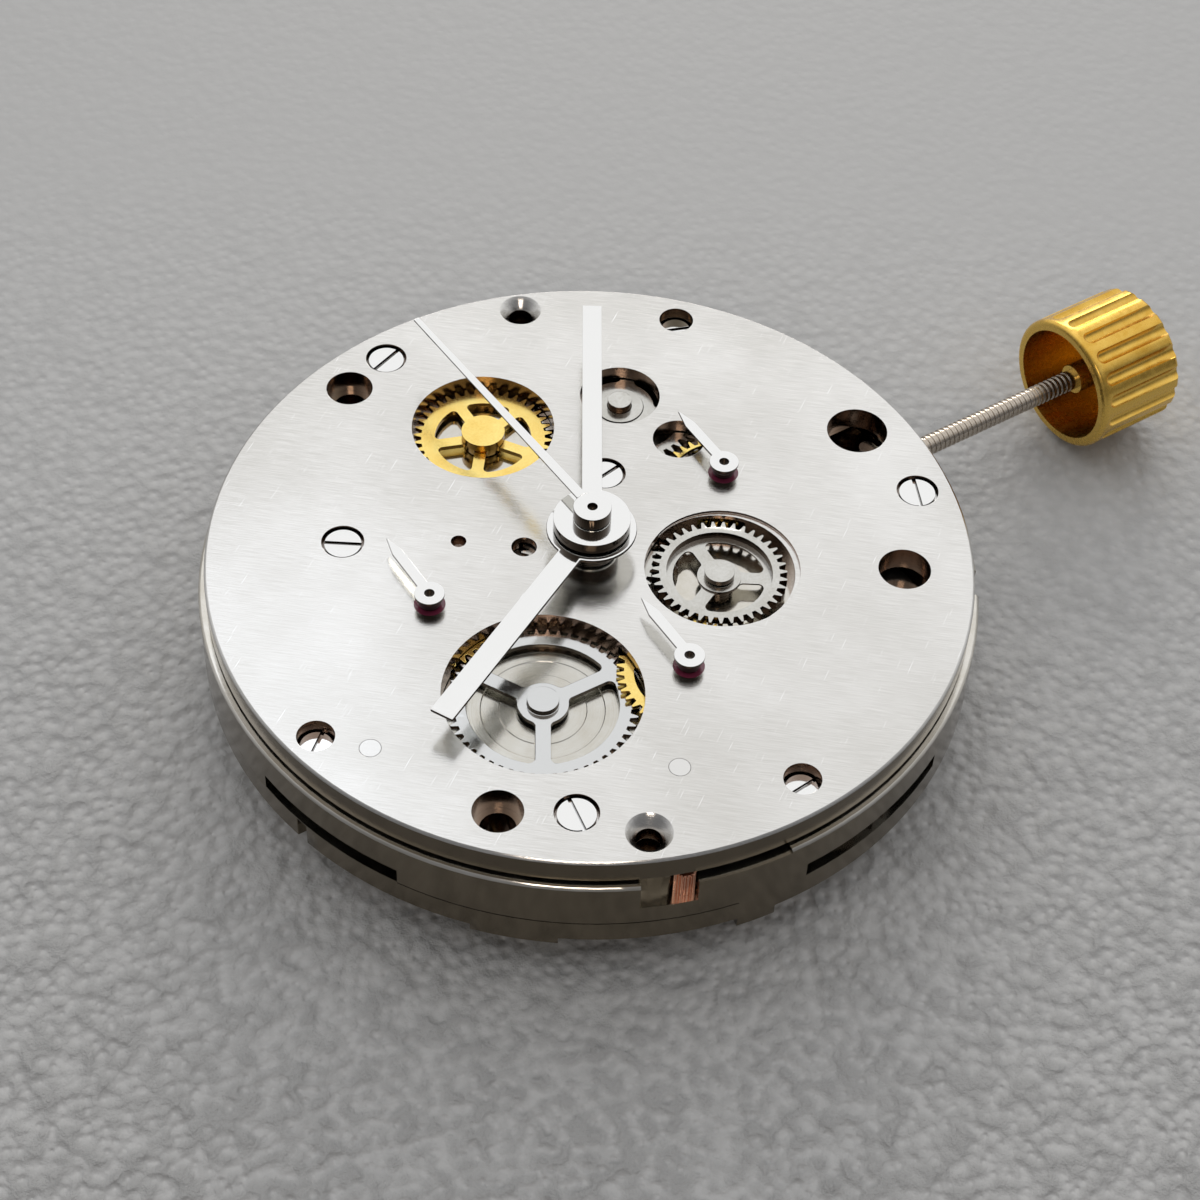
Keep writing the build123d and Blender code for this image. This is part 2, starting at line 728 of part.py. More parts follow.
def screw_seats(name):
    """Counterbored screw holes of one bridge, opening downwards."""
    for owner, share, angle in bridge_screw_shares:
        if owner == name:
            at = polar((share, angle))
            head_top = bridge_low + bridge_screw_sink
            drum(at, bridge_screw_radius + seat_gap, bridge_low, head_top, Mode.SUBTRACT)
            drum(at, shank_radius, bridge_low, main_plate_low, Mode.SUBTRACT)


with BuildPart() as barrel_bridge:
    slab(barrel_bridge_outline, bridge_low, bridge_thickness)
    drum(centre, casing_radius, bridge_low, main_plate_low, Mode.INTERSECT)
    drum(barrel_at, barrel_drum_radius + rim_gap, barrel_low - level_gap, main_plate_low, Mode.SUBTRACT)
    drum(barrel_at, barrel_arbor_radius + running_gap, bridge_low, main_plate_low, Mode.SUBTRACT)
    drum(register_3, post_hole_radius, bridge_low, main_plate_low, Mode.SUBTRACT)
    slab(keyless_cavity, bridge_low + level_gap, bridge_thickness - level_gap, Mode.SUBTRACT)
    slab(winding_opening, bridge_low, bridge_thickness, Mode.SUBTRACT)
    rod(stem_hole_radius, keyless_end, casing_radius + overrun, Mode.SUBTRACT)
    rod(arbor_radius + running_gap, keyless_start - stem_pivot_depth, keyless_start, Mode.SUBTRACT)
    drum(crown_wheel_at, crown_core_radius, bridge_low, bridge_low + core_depth, Mode.SUBTRACT)
    drum(click_at, post_radius, bridge_low, bridge_low + core_depth, Mode.SUBTRACT)
    screw_seats("barrel_bridge")
barrel_bridge.part.label = "barrel_bridge"

with BuildPart() as train_bridge:
    slab(train_bridge_outline, bridge_low, bridge_thickness)
    drum(centre, casing_radius, bridge_low, main_plate_low, Mode.INTERSECT)
    drum(centre, runner_hole_radius, bridge_low, main_plate_low, Mode.SUBTRACT)
    for at in bridge_jewels:
        drum(at, bridge_jewel_radius, bridge_low, main_plate_low, Mode.SUBTRACT)
    screw_seats("train_bridge")
train_bridge.part.label = "train_bridge"

with BuildPart() as pallet_bridge:
    arm(pallet_left, pallet_right, pallet_bridge_width, pallet_bridge_low, main_plate_low)
    drum(pallet_at, pivot_hole_radius, pallet_bridge_low, main_plate_low, Mode.SUBTRACT)
pallet_bridge.part.label = "pallet_bridge"

with BuildPart() as balance_cock:
    lever(cock_foot_at, cock_foot_radius, balance_at, cock_end_radius, movement_low, cock_top)
    drum(cock_foot_at, cock_foot_radius, cock_top, main_plate_low)
    drum(balance_at, cock_jewel_radius, movement_low, cock_top, Mode.SUBTRACT)
    drum(cock_foot_at, bridge_screw_radius, movement_low, movement_low + bridge_screw_sink, Mode.SUBTRACT)
    drum(cock_foot_at, shank_radius, movement_low, main_plate_low, Mode.SUBTRACT)
balance_cock.part.label = "balance_cock"

with BuildPart() as chronograph_bridge:
    for start, end in bridge_arms:
        arm(start, end, bridge_arm_width, movement_low, chronograph_bridge_top)
    for at, top in zip(foot_points, bridge_foot_tops):
        drum(at, foot_radius, movement_low, top)
    for at, radius in bridge_bores:
        drum(at, radius, movement_low, chronograph_bridge_top, Mode.SUBTRACT)
chronograph_bridge.part.label = "chronograph_bridge"

# Jewels of the registers, the train and the balance
staff_pivot_low = movement_low + 2 * level_gap
with BuildPart() as jewels:
    for register in (register_3, register_6, register_9):
        drum(register, jewel_radius, -jewel_thickness, 0)
        drum(register, post_hole_radius, -jewel_thickness, 0, Mode.SUBTRACT)
    for at in bridge_jewels:
        drum(at, bridge_jewel_radius, bridge_low, bridge_low + jewel_thickness)
        drum(at, pivot_hole_radius, bridge_low, bridge_low + jewel_thickness, Mode.SUBTRACT)
    drum(balance_at, cock_jewel_radius, movement_low, cock_top)
    drum(balance_at, pivot_hole_radius, staff_pivot_low, cock_top, Mode.SUBTRACT)
jewels.part.label = "jewels"

# Fasteners
plate_screw_top = -screw_sink
with BuildPart() as dial_plate_screws:
    for place_shares, turn in zip(plate_screw_shares, plate_screw_slots):
        at = polar(place_shares)
        drum(at, shank_radius, -plate_screw_depth, plate_screw_top - screw_head_height)
        slotted(at, screw_head_radius, plate_screw_top - screw_head_height, plate_screw_top, turn)
dial_plate_screws.part.label = "dial_plate_screws"

with BuildPart() as recessed_screws:
    for place_shares, turn in zip(deep_screw_shares, deep_screw_slots):
        at = polar(place_shares)
        drum(at, shank_radius, -plate_screw_depth, deep_screw_top - screw_head_height)
        slotted(at, deep_screw_head_radius, deep_screw_top - screw_head_height, deep_screw_top, turn)
recessed_screws.part.label = "recessed_screws"

bridge_screw_top = bridge_low + bridge_screw_sink
with BuildPart() as bridge_screws:
    for owner, share, angle in bridge_screw_shares:
        drum(polar((share, angle)), bridge_screw_radius, bridge_low + seat_gap, bridge_screw_top)
        drum(polar((share, angle)), shank_radius, bridge_screw_top, main_plate_low)
    drum(cock_foot_at, bridge_screw_radius, movement_low + seat_gap, movement_low + bridge_screw_sink)
    drum(cock_foot_at, shank_radius, movement_low + bridge_screw_sink, main_plate_low)
bridge_screws.part.label = "bridge_screws"

with BuildPart() as steady_pins:
    for place_shares in pin_shares:
        drum(polar(place_shares), pin_radius, -pin_length, 0)
    gear(polar(notch_stud_shares), notch_stud_leaves, notch_stud_module, 0, notch_low, notch_top)
steady_pins.part.label = "steady_pins"

# Fixed studs on which wheels and levers turn
column_stud_top = column_top + level_gap
transfer_rim_top = -0.18
with BuildPart() as wheel_studs:
    drum(minute_at, post_radius, dial_plate_low + level_gap, skin_low / 2)
    drum(minute_at, stud_radius, dial_plate_low + level_gap / 2, middle_low - running_gap)
    drum(transfer_at, stud_radius, dial_plate_low - stud_depth, transfer_rim_top)
    drum(transfer_at, stud_head_radius, upper_top + seat_gap, transfer_rim_top + seat_gap)
    drum(transfer_at, stud_head_radius, dial_plate_low, upper_low - level_gap)
    drum(crown_wheel_at, crown_core_radius, winding_low, bridge_low + core_depth)
    drum(click_at, post_radius, winding_low, bridge_low + core_depth)
    drum(yoke_post_at, post_radius, keyless_top - stud_depth, yoke_top)
    drum(lever_post_at, post_radius, keyless_top - stud_depth, yoke_top)
    drum(column_at, stud_radius, movement_low, column_stud_top)
wheel_studs.part.label = "wheel_studs"

# Motion works under the dial-side plate
cannon_low = dial_plate_low + level_gap
with BuildPart() as cannon_pinion:
    gear(centre, cannon_teeth, minute_module, cannon_phase, middle_low, middle_top)
    drum(centre, cannon_radius, cannon_low, minute_hand_top)
    drum(centre, cannon_bore_radius, cannon_low, minute_hand_top, Mode.SUBTRACT)
cannon_pinion.part.label = "cannon_pinion"

with BuildPart() as minute_wheel:
    gear(minute_at, minute_teeth, minute_module, minute_phase, middle_low, middle_top)
    gear(minute_at, minute_pinion_teeth, hour_module, minute_pinion_phase, middle_top,
         upper_top - running_gap)
    drum(minute_at, post_hole_radius, middle_low, upper_top, Mode.SUBTRACT)
minute_wheel.part.label = "minute_wheel"

with BuildPart() as hour_wheel:
    gear(centre, hour_teeth, hour_module, hour_phase, upper_low, upper_top)
    drum(centre, hour_pipe_radius, upper_low, hour_hand_top)
    drum(centre, hour_bore_radius, upper_low, hour_hand_top, Mode.SUBTRACT)
hour_wheel.part.label = "hour_wheel"

carrier_rim = 2.02
carrier_hub = 0.80
carrier_arms = 5
carrier_arm_width = 0.48
carrier_arm_angle = 16
carrier_cap_radius = 0.90
carrier_cap_top = -0.25
with BuildPart() as carrier_wheel:
    gear(carrier_at, carrier_teeth, minute_module, carrier_phase, middle_low, middle_top)
    spoke(carrier_at, carrier_rim, carrier_hub, carrier_arms, carrier_arm_width, carrier_arm_angle,
          middle_low, middle_top)
    drum(carrier_at, carrier_hub, dial_plate_low + seat_gap, carrier_cap_top)
    drum(carrier_at, carrier_cap_radius, middle_top + seat_gap, carrier_cap_top)
    drum(carrier_at, post_radius, dial_plate_low - post_depth, dial_plate_low + seat_gap)
carrier_wheel.part.label = "carrier_wheel"

driving_rim = 2.75
driving_hub = 1.45
driving_arms = 4
driving_arm_width = 0.60
with BuildPart() as driving_wheel:
    gear(barrel_at, driving_teeth, minute_module, driving_phase, middle_low, middle_top)
    spoke(barrel_at, driving_rim, driving_hub, driving_arms, driving_arm_width, 45, middle_low, middle_top)
    drum(barrel_at, barrel_hub_radius + running_gap, middle_low, middle_top, Mode.SUBTRACT)
driving_wheel.part.label = "driving_wheel"

with BuildPart() as setting_wheel:
    gear(setting_at, setting_teeth, minute_module, setting_phase, middle_low, middle_top)
    drum(setting_at, setting_pipe_radius, setting_low_top, middle_low)
    gear(setting_at, setting_teeth, minute_module, setting_phase, setting_low, setting_low_top)
setting_wheel.part.label = "setting_wheel"

transfer_rim = 2.13
transfer_window_rim = 1.86
transfer_hub = 0.88
transfer_arms = 3
transfer_arm_width = 0.58
transfer_arm_angle = 86
with BuildPart() as transfer_wheel:
    gear(transfer_at, transfer_teeth, hour_module, transfer_phase, upper_low, transfer_rim_top)
    drum(transfer_at, transfer_rim, upper_low + wheel_thickness / 2, transfer_rim_top, Mode.SUBTRACT)
    spoke(transfer_at, transfer_window_rim, transfer_hub, transfer_arms, transfer_arm_width,
          transfer_arm_angle, upper_low, upper_low + wheel_thickness / 2)
    drum(transfer_at, transfer_hub, upper_low, upper_top)
    drum(transfer_at, stud_radius + running_gap, upper_low, transfer_rim_top, Mode.SUBTRACT)
transfer_wheel.part.label = "transfer_wheel"

register_rim = 2.10
register_hub = 0.80
register_arms = 4
register_arm_width = 0.40
with BuildPart() as hour_register_wheel:
    gear(register_6, hour_register_teeth, hour_module, hour_register_phase, upper_low, upper_top)
    spoke(register_6, register_rim, register_hub, register_arms, register_arm_width, 45, upper_low, upper_top)
    drum(register_6, post_hole_radius, upper_low, upper_top, Mode.SUBTRACT)
hour_register_wheel.part.label = "hour_register_wheel"

# Going train, from the barrel to the escape wheel
barrel_wall = 0.30
barrel_floor_share = 0.8
barrel_floor_low = barrel_top - barrel_floor_share * barrel_wall
lid_thickness = 0.15
core_radius = 0.80
with BuildPart() as barrel_drum:
    gear(barrel_at, barrel_teeth, barrel_module, barrel_phase, barrel_teeth_low, barrel_top)
    drum(barrel_at, barrel_drum_radius, barrel_low, barrel_top)
    drum(barrel_at, barrel_drum_radius - barrel_wall, barrel_low, barrel_floor_low, Mode.SUBTRACT)
    drum(barrel_at, barrel_hub_radius, barrel_top, barrel_hub_top)
    drum(barrel_at, barrel_arbor_radius + running_gap, barrel_floor_low, barrel_hub_top, Mode.SUBTRACT)
barrel_drum.part.label = "barrel_drum"

with BuildPart() as barrel_lid:
    drum(barrel_at, barrel_drum_radius - barrel_wall, barrel_low, barrel_low + lid_thickness)
    drum(barrel_at, barrel_arbor_radius + running_gap, barrel_low, barrel_low + lid_thickness, Mode.SUBTRACT)
barrel_lid.part.label = "barrel_lid"

spring_outer = barrel_drum_radius - barrel_wall - seat_gap
spring_inner = 3.20
with BuildPart() as mainspring:
    drum(barrel_at, spring_outer, barrel_low + lid_thickness + seat_gap, barrel_floor_low - seat_gap)
    drum(barrel_at, spring_inner, barrel_low, barrel_floor_low, Mode.SUBTRACT)
mainspring.part.label = "mainspring"

arbor_top = -0.25
with BuildPart() as barrel_arbor:
    drum(barrel_at, barrel_arbor_radius, winding_low, arbor_top)
    drum(barrel_at, core_radius, barrel_low + lid_thickness + seat_gap, barrel_floor_low - seat_gap)
barrel_arbor.part.label = "barrel_arbor"

second_rim = 3.30
third_rim = 2.75
fourth_rim = 2.40
train_hub = 0.90
train_arms = 4
train_arm_width = 0.45
escape_thickness = 0.15
arbor_low = bridge_low + jewel_thickness + seat_gap
pivot_low = bridge_low + seat_gap


def arbor(at, top):
    """Arbor with a pivot at each end, running in the plate above and the bridge jewel below."""
    drum(at, arbor_radius, arbor_low, top)
    drum(at, pivot_radius, top, top + pivot_depth)
    drum(at, pivot_radius, pivot_low, arbor_low)


with BuildPart() as second_wheel:
    gear(second_at, second_teeth, train_module, second_phase, second_top - wheel_thickness, second_top)
    spoke(second_at, second_rim, train_hub, train_arms, train_arm_width, 0,
          second_top - wheel_thickness, second_top)
    gear(second_at, train_leaves, barrel_module, second_pinion_phase, second_pinion_low, second_pinion_top)
    arbor(second_at, second_top + level_gap / 2)
second_wheel.part.label = "second_wheel"

with BuildPart() as third_wheel:
    gear(third_at, third_teeth, train_module, third_phase, third_top - wheel_thickness, third_top)
    spoke(third_at, third_rim, train_hub, train_arms, train_arm_width, 30,
          third_top - wheel_thickness, third_top)
    gear(third_at, train_leaves, train_module, third_pinion_phase, third_pinion_low, third_pinion_top)
    arbor(third_at, third_pinion_top + level_gap / 2)
third_wheel.part.label = "third_wheel"

fourth_arbor_top = register_hand_top - 2 * register_hand_thickness
with BuildPart() as fourth_wheel:
    gear(register_9, fourth_teeth, escape_module, fourth_phase, fourth_top - wheel_thickness, fourth_top)
    spoke(register_9, fourth_rim, train_hub, train_arms, train_arm_width, 10,
          fourth_top - wheel_thickness, fourth_top)
    gear(register_9, train_leaves, train_module, fourth_pinion_phase, fourth_pinion_low, fourth_pinion_top)
    drum(register_9, arbor_radius, arbor_low, fourth_pinion_top)
    drum(register_9, pivot_radius, pivot_low, arbor_low)
    drum(register_9, post_radius, fourth_pinion_top, fourth_arbor_top)
fourth_wheel.part.label = "fourth_wheel"

with BuildPart() as fourth_register_wheel:
    gear(register_9, fourth_register_teeth, coupling_module, fourth_register_phase, middle_low, middle_top)
    spoke(register_9, register_rim, register_hub, register_arms, register_arm_width, 45,
          middle_low, middle_top)
    drum(register_9, post_radius, middle_low, middle_top, Mode.SUBTRACT)
fourth_register_wheel.part.label = "fourth_register_wheel"

escape_rim = 1.55
escape_hub = 0.55
escape_tooth_lean_share = 0.35
escape_arms = 4
escape_arm_width = 0.25
escape_shares = (
    (0, escape_radius),
    (escape_tooth_lean_share, escape_rim + rim_gap),
    (1 - escape_tooth_lean_share / 2, escape_rim + rim_gap),
)
escape_points = []
for tooth in range(escape_teeth):
    for share, radius in escape_shares:
        escape_points.append(spot(escape_at, radius, 360 * (tooth + share) / escape_teeth))
with BuildPart() as escape_wheel:
    slab(escape_points, escape_top - escape_thickness, escape_thickness)
    spoke(escape_at, escape_rim, escape_hub, escape_arms, escape_arm_width, 0,
          escape_top - escape_thickness, escape_top)
    gear(escape_at, escape_leaves, escape_module, escape_pinion_phase, escape_pinion_low,
         fourth_top + seat_gap)
    arbor(escape_at, escape_top + level_gap / 2)
escape_wheel.part.label = "escape_wheel"

coupling_rim = 2.95
coupling_arms = 3
coupling_arm_width = 0.60
coupling_hub = 1.00
coupling_cap_radius = 0.62
coupling_cap_top = -0.40
with BuildPart() as coupling_wheel:
    gear(coupling_at, coupling_teeth, coupling_module, coupling_phase, middle_low, middle_top)
    spoke(coupling_at, coupling_rim, coupling_hub, coupling_arms, coupling_arm_width, -1.5,
          middle_low, middle_top)
    drum(coupling_at, coupling_cap_radius, middle_top, coupling_cap_top)
    drum(coupling_at, coupling_cap_radius, sweep_top, middle_low)
    drum(coupling_at, post_radius, recess_floor - post_depth, sweep_top)
coupling_wheel.part.label = "coupling_wheel"

disc_ring_radii = (4.05, 3.35, 2.40, 1.70)
disc_ring_depth = 0.04
with BuildPart() as coupling_disc:
    gear(coupling_at, disc_teeth, sweep_module, disc_phase, sweep_low, sweep_top)
    for number, radius in enumerate(disc_ring_radii):
        ring_mode = Mode.SUBTRACT if number % 2 == 0 else Mode.ADD
        drum(coupling_at, radius, sweep_top - disc_ring_depth, sweep_top, ring_mode)
    drum(coupling_at, post_radius, sweep_low, sweep_top, Mode.SUBTRACT)
coupling_disc.part.label = "coupling_disc"

sweep_rim = 2.60
sweep_hub = 0.75
sweep_arms = 5
sweep_arm_width = 0.35
with BuildPart() as sweep_wheel:
    gear(centre, sweep_teeth, sweep_module, sweep_phase, sweep_low, sweep_top)
    spoke(centre, sweep_rim, sweep_hub, sweep_arms, sweep_arm_width, 0, sweep_low, sweep_top)
    drum(centre, runner_radius, sweep_low - post_depth, sweep_low)
    drum(centre, cannon_bore_radius, sweep_low - post_depth, sweep_top, Mode.SUBTRACT)
sweep_wheel.part.label = "sweep_wheel"

# Escapement and balance
fork_width = 0.42
fork_boss = 0.50
fork_boss_share = 0.67
stone_reach = 1.10
stone_angle = 75
stone_width = 0.24
pin_orbit = 0.72
pin_size = 0.10
roller_radius = 0.90
staff_radius = 0.30
staff_top = fork_top + 2 * level_gap
fork_notch = balance_distance - pin_orbit - pin_size - seat_gap
with BuildPart() as pallet_fork:
    fork_tip = spot(pallet_at, fork_notch - stone_width, escape_line)
    lever(pallet_at, fork_boss_share * fork_boss, fork_tip, stone_width, fork_low, fork_top)
    for side in (-1, 1):
        arm_end = spot(pallet_at, stone_reach, escape_line + 180 + side * stone_angle)
        arm(pallet_at, arm_end, fork_width, fork_low, fork_top)
    drum(pallet_at, arbor_radius, main_plate_low + seat_gap, fork_top + level_gap / 2)
    drum(pallet_at, pivot_radius, fork_top, fork_top + pivot_depth)
    drum(pallet_at, pivot_radius, pallet_bridge_low + seat_gap, fork_low)
pallet_fork.part.label = "pallet_fork"

balance_arms = 3
balance_arm_width = 0.50
balance_hub = 0.80
with BuildPart() as balance_wheel:
    drum(balance_at, balance_radius, balance_top - balance_thickness, balance_top)
    spoke(balance_at, balance_radius - balance_rim, balance_hub, balance_arms, balance_arm_width,
          escape_line, balance_top - balance_thickness, balance_top)
    drum(balance_at, staff_radius, balance_top - balance_thickness, balance_top, Mode.SUBTRACT)
balance_wheel.part.label = "balance_wheel"

roller_thickness = 0.20
with BuildPart() as balance_staff:
    drum(balance_at, staff_radius, cock_top + seat_gap, staff_top)
    drum(balance_at, pivot_radius, staff_top, staff_top + pivot_depth)
    drum(balance_at, pivot_radius, staff_pivot_low + seat_gap, cock_top + seat_gap)
    drum(balance_at, roller_radius, roller_top - roller_thickness, roller_top)
    drum(spot(balance_at, pin_orbit, escape_line + 180), pin_size, roller_top, fork_top)
balance_staff.part.label = "balance_staff"

hairspring_top = -5.15
hairspring_low = -5.35
hairspring_turns = 4
hairspring_steps = 24
hairspring_width = 0.08
hairspring_inner = 0.60
hairspring_pitch = (hairspring_radius - hairspring_inner) / hairspring_turns
spring_stud_radius = 0.25


def coil(edge):
    """Points of one edge of the hairspring, from the collet outwards."""
    points = []
    for step in range(hairspring_turns * hairspring_steps + 1):
        turn = step / hairspring_steps
        points.append(spot(balance_at, hairspring_inner + edge + hairspring_pitch * turn, 360 * turn))
    return points


spring_end = spot(balance_at, hairspring_radius, 0)
with BuildPart() as hairspring:
    slab(coil(hairspring_width) + coil(0)[::-1], hairspring_low, hairspring_top - hairspring_low)
    drum(spring_end, spring_stud_radius, hairspring_low, cock_top + cock_stud_depth)
hairspring.part.label = "hairspring"

# Winding works on the back
with BuildPart() as ratchet_wheel:
    gear(barrel_at, ratchet_teeth, winding_module, ratchet_phase, winding_low, winding_top)
    drum(barrel_at, barrel_arbor_radius, winding_low, winding_top, Mode.SUBTRACT)
ratchet_wheel.part.label = "ratchet_wheel"

with BuildPart() as crown_wheel:
    gear(crown_wheel_at, crown_wheel_teeth, winding_module, crown_wheel_phase, winding_low, winding_top)
    drum(crown_wheel_at, crown_core_radius + running_gap, winding_low, winding_top, Mode.SUBTRACT)
crown_wheel.part.label = "crown_wheel"

click_boss = 0.50
click_tip_radius = 0.12
click_tip_at = spot(barrel_at, outer(winding_module, ratchet_teeth) + click_tip_radius + seat_gap, -122)
with BuildPart() as click:
    lever(click_at, click_boss, click_tip_at, click_tip_radius, winding_low, winding_top)
    drum(click_at, post_hole_radius, winding_low, winding_top, Mode.SUBTRACT)
click.part.label = "click"

winding_pinion_start = 12.10
winding_pinion_end = 13.30
winding_pinion_radius = 1.22
winding_leaves = 14
leaf_depth_share = 0.80
leaf_flat_shares = (-0.25, 0.25)


def star_rod(radius, leaves, start, end):
    """Toothed piece on the stem's axis."""
    points = []
    for leaf in range(2 * leaves):
        tip = radius if leaf % 2 == 0 else radius * leaf_depth_share
        for share in leaf_flat_shares:
            points.append(spot((0, stem_height), tip, 180 * (leaf + share) / leaves))
    with BuildSketch(Plane.YZ.offset(start)) as profile:
        with BuildLine():
            Polyline(*points, close=True)
        make_face()
    extrude(profile.sketch, amount=end - start)


with BuildPart() as winding_pinion:
    star_rod(winding_pinion_radius, winding_leaves, winding_pinion_start, winding_pinion_end)
    rod(stem_radius + running_gap, winding_pinion_start, winding_pinion_end, Mode.SUBTRACT)
winding_pinion.part.label = "winding_pinion"

with BuildPart() as sliding_pinion:
    star_rod(sliding_radius, winding_leaves, sliding_start, sliding_end)
    rod(sliding_radius + overrun, sliding_groove_at - sliding_groove_width / 2,
        sliding_groove_at + sliding_groove_width / 2, Mode.SUBTRACT)
    rod(sliding_groove_radius, sliding_start, sliding_end)
    rod(stem_radius + running_gap, sliding_start, sliding_end, Mode.SUBTRACT)
sliding_pinion.part.label = "sliding_pinion"

thread_pitch = 0.25
thread_depth = 0.05
thread_start = 15.90
boss_start = stem_end - overrun / 2
thread_count = int((boss_start - thread_start) / thread_pitch)
with BuildPart() as stem:
    rod(arbor_radius, keyless_start - stem_pivot_depth, keyless_start + 2 * seat_gap)
    rod(stem_radius, keyless_start + 2 * seat_gap, stem_end)
    rod(stem_radius, stem_groove_at - stem_groove_width / 2, stem_groove_at + stem_groove_width / 2,
        Mode.SUBTRACT)
    rod(stem_groove_radius, stem_groove_at - stem_groove_width / 2, stem_groove_at + stem_groove_width / 2)
    for turn in range(thread_count):
        groove = thread_start + thread_pitch * turn
        rod(stem_radius, groove, groove + thread_pitch / 2, Mode.SUBTRACT)
        rod(stem_radius - thread_depth, groove, groove + thread_pitch / 2)
stem.part.label = "stem"

crown_cap = 0.55
with BuildPart() as crown:
    rod(crown_radius, crown_start, crown_end)
    fillet(crown.edges().group_by(Axis.X)[0], crown_wall / 2)
    fillet(crown.edges().group_by(Axis.X)[-1], crown_wall / 2)
    rod(crown_radius - crown_wall, crown_start, crown_end - crown_cap, Mode.SUBTRACT)
    rod(crown_boss_radius, boss_start, crown_end - crown_cap)
    rod(stem_radius, boss_start, stem_end, Mode.SUBTRACT)
    for flute in range(crown_flutes):
        y, z = spot((0, stem_height), crown_radius + flute_offset, 360 * flute / crown_flutes)
        with BuildSketch(Plane.YZ.offset(crown_start + crown_lip)) as profile:
            with Locations((y, z)):
                Circle(flute_radius)
        extrude(profile.sketch, amount=crown_end - crown_start, mode=Mode.SUBTRACT)
        with Locations((crown_start + crown_lip, y, z)):
            Sphere(flute_radius, mode=Mode.SUBTRACT)
crown.part.label = "crown"

yoke_boss = 0.80
yoke_tip_radius = 0.42
lever_boss = 0.45
lever_tip_radius = 0.35
yoke_pin_low = stem_height + sliding_groove_radius + seat_gap
lever_pin_low = stem_height + stem_groove_radius + seat_gap
with BuildPart() as yoke:
    lever(yoke_post_at, yoke_boss, yoke_tip_at, yoke_tip_radius, yoke_low, yoke_top)
    drum(yoke_tip_at, post_radius, yoke_pin_low, yoke_low)
    drum(yoke_post_at, post_hole_radius, yoke_low, yoke_top, Mode.SUBTRACT)
yoke.part.label = "yoke"

with BuildPart() as setting_lever:
    lever(lever_post_at, lever_boss, lever_tip_at, lever_tip_radius, yoke_low, yoke_top)
    drum(lever_tip_at, post_radius, lever_pin_low, yoke_low)
    drum(lever_post_at, post_hole_radius, yoke_low, yoke_top, Mode.SUBTRACT)
setting_lever.part.label = "setting_lever"

# Chronograph works
heart_radius = 1.25
heart_share = 0.45
heart_top = -5.15
heart_low = -5.35
counter_heart_top = -5.45
counter_heart_low = -5.60
counter_wheel_top = -5.15
counter_wheel_low = -5.30
runner_step = sweep_low - post_depth - seat_gap
runner_top = sweep_boss_low + sweep_boss_radius / 3
chronograph_pivot_low = movement_low + level_gap


def heart(at, radius, low, top):
    """Heart cam: a disc set off its axis, with a flat."""
    cam_at = spot(at, radius * heart_share, 30)
    lever(at, radius * heart_share, cam_at, radius * (1 - heart_share), low, top)


with BuildPart() as chronograph_runner:
    drum(centre, post_radius, runner_step, runner_top)
    drum(centre, runner_radius, heart_low - level_gap, runner_step)
    drum(centre, pivot_radius, chronograph_pivot_low, heart_low - level_gap)
    heart(centre, heart_radius, heart_low, heart_top)
chronograph_runner.part.label = "chronograph_runner"

with BuildPart() as minute_counter:
    drum(register_3, post_radius, counter_heart_low - level_gap, fourth_arbor_top)
    drum(register_3, pivot_radius, chronograph_pivot_low, counter_heart_low - level_gap)
    gear(register_3, counter_teeth, minute_module, 0, counter_wheel_low, counter_wheel_top)
    heart(register_3, heart_radius, counter_heart_low, counter_heart_top)
minute_counter.part.label = "minute_counter"

with BuildPart() as minute_register_wheel:
    gear(register_3, minute_register_teeth, hour_module, 0, upper_low, upper_top)
    spoke(register_3, register_rim, register_hub, register_arms, register_arm_width, 45, upper_low, upper_top)
    drum(register_3, post_radius, upper_low, upper_top, Mode.SUBTRACT)
minute_register_wheel.part.label = "minute_register_wheel"

with BuildPart() as hour_counter:
    drum(register_6, post_radius, dial_plate_low - counter_depth + seat_gap, fourth_arbor_top)
    drum(register_6, stud_head_radius, upper_low - level_gap, upper_low - running_gap)
hour_counter.part.label = "hour_counter"

column_saw_share = 0.85
column_hub_radius = 1.45
columns = 6
column_size = 0.35
column_orbit = 1.05
column_low = -5.65
column_floor = chronograph_top
column_points = []
for tooth in range(column_teeth):
    for share, scale in ((0, 1), (column_saw_share, column_saw_share)):
        turn = 360 * (tooth + share) / column_teeth
        column_points.append(spot(column_at, column_radius * scale, turn))
with BuildPart() as column_wheel:
    slab(column_points, column_ring_low, column_top - column_ring_low)
    drum(column_at, column_hub_radius, column_floor, column_ring_low)
    for number in range(columns):
        drum(spot(column_at, column_orbit, 360 * number / columns), column_size, column_low, column_floor)
    drum(column_at, stud_radius + running_gap, column_low, column_top, Mode.SUBTRACT)
column_wheel.part.label = "column_wheel"

operating_post_shares = (0.880, -50.0)
operating_post_at = polar(operating_post_shares)
operating_tip_at = spot(column_at, column_orbit + column_size + 2 * column_size, 30)
operating_boss = 0.80
operating_tip_radius = 0.40
hammer_post_shares = (0.560, -52.0)
hammer_post_at = polar(hammer_post_shares)
hammer_face_at = spot(centre, heart_radius + 4 * rim_gap, -55)
hammer_boss = 0.70
hammer_face_radius = 0.35
lever_thickness = 0.35
post_low = chronograph_top - lever_thickness
post_top = chronograph_top + level_gap
with BuildPart() as operating_lever:
    lever(operating_post_at, operating_boss, operating_tip_at, operating_tip_radius, post_low,
          chronograph_top)
    drum(operating_post_at, post_hole_radius, post_low, chronograph_top, Mode.SUBTRACT)
operating_lever.part.label = "operating_lever"

with BuildPart() as reset_hammer:
    lever(hammer_post_at, hammer_boss, hammer_face_at, hammer_face_radius, post_low, chronograph_top)
    drum(hammer_post_at, post_hole_radius, post_low, chronograph_top, Mode.SUBTRACT)
reset_hammer.part.label = "reset_hammer"

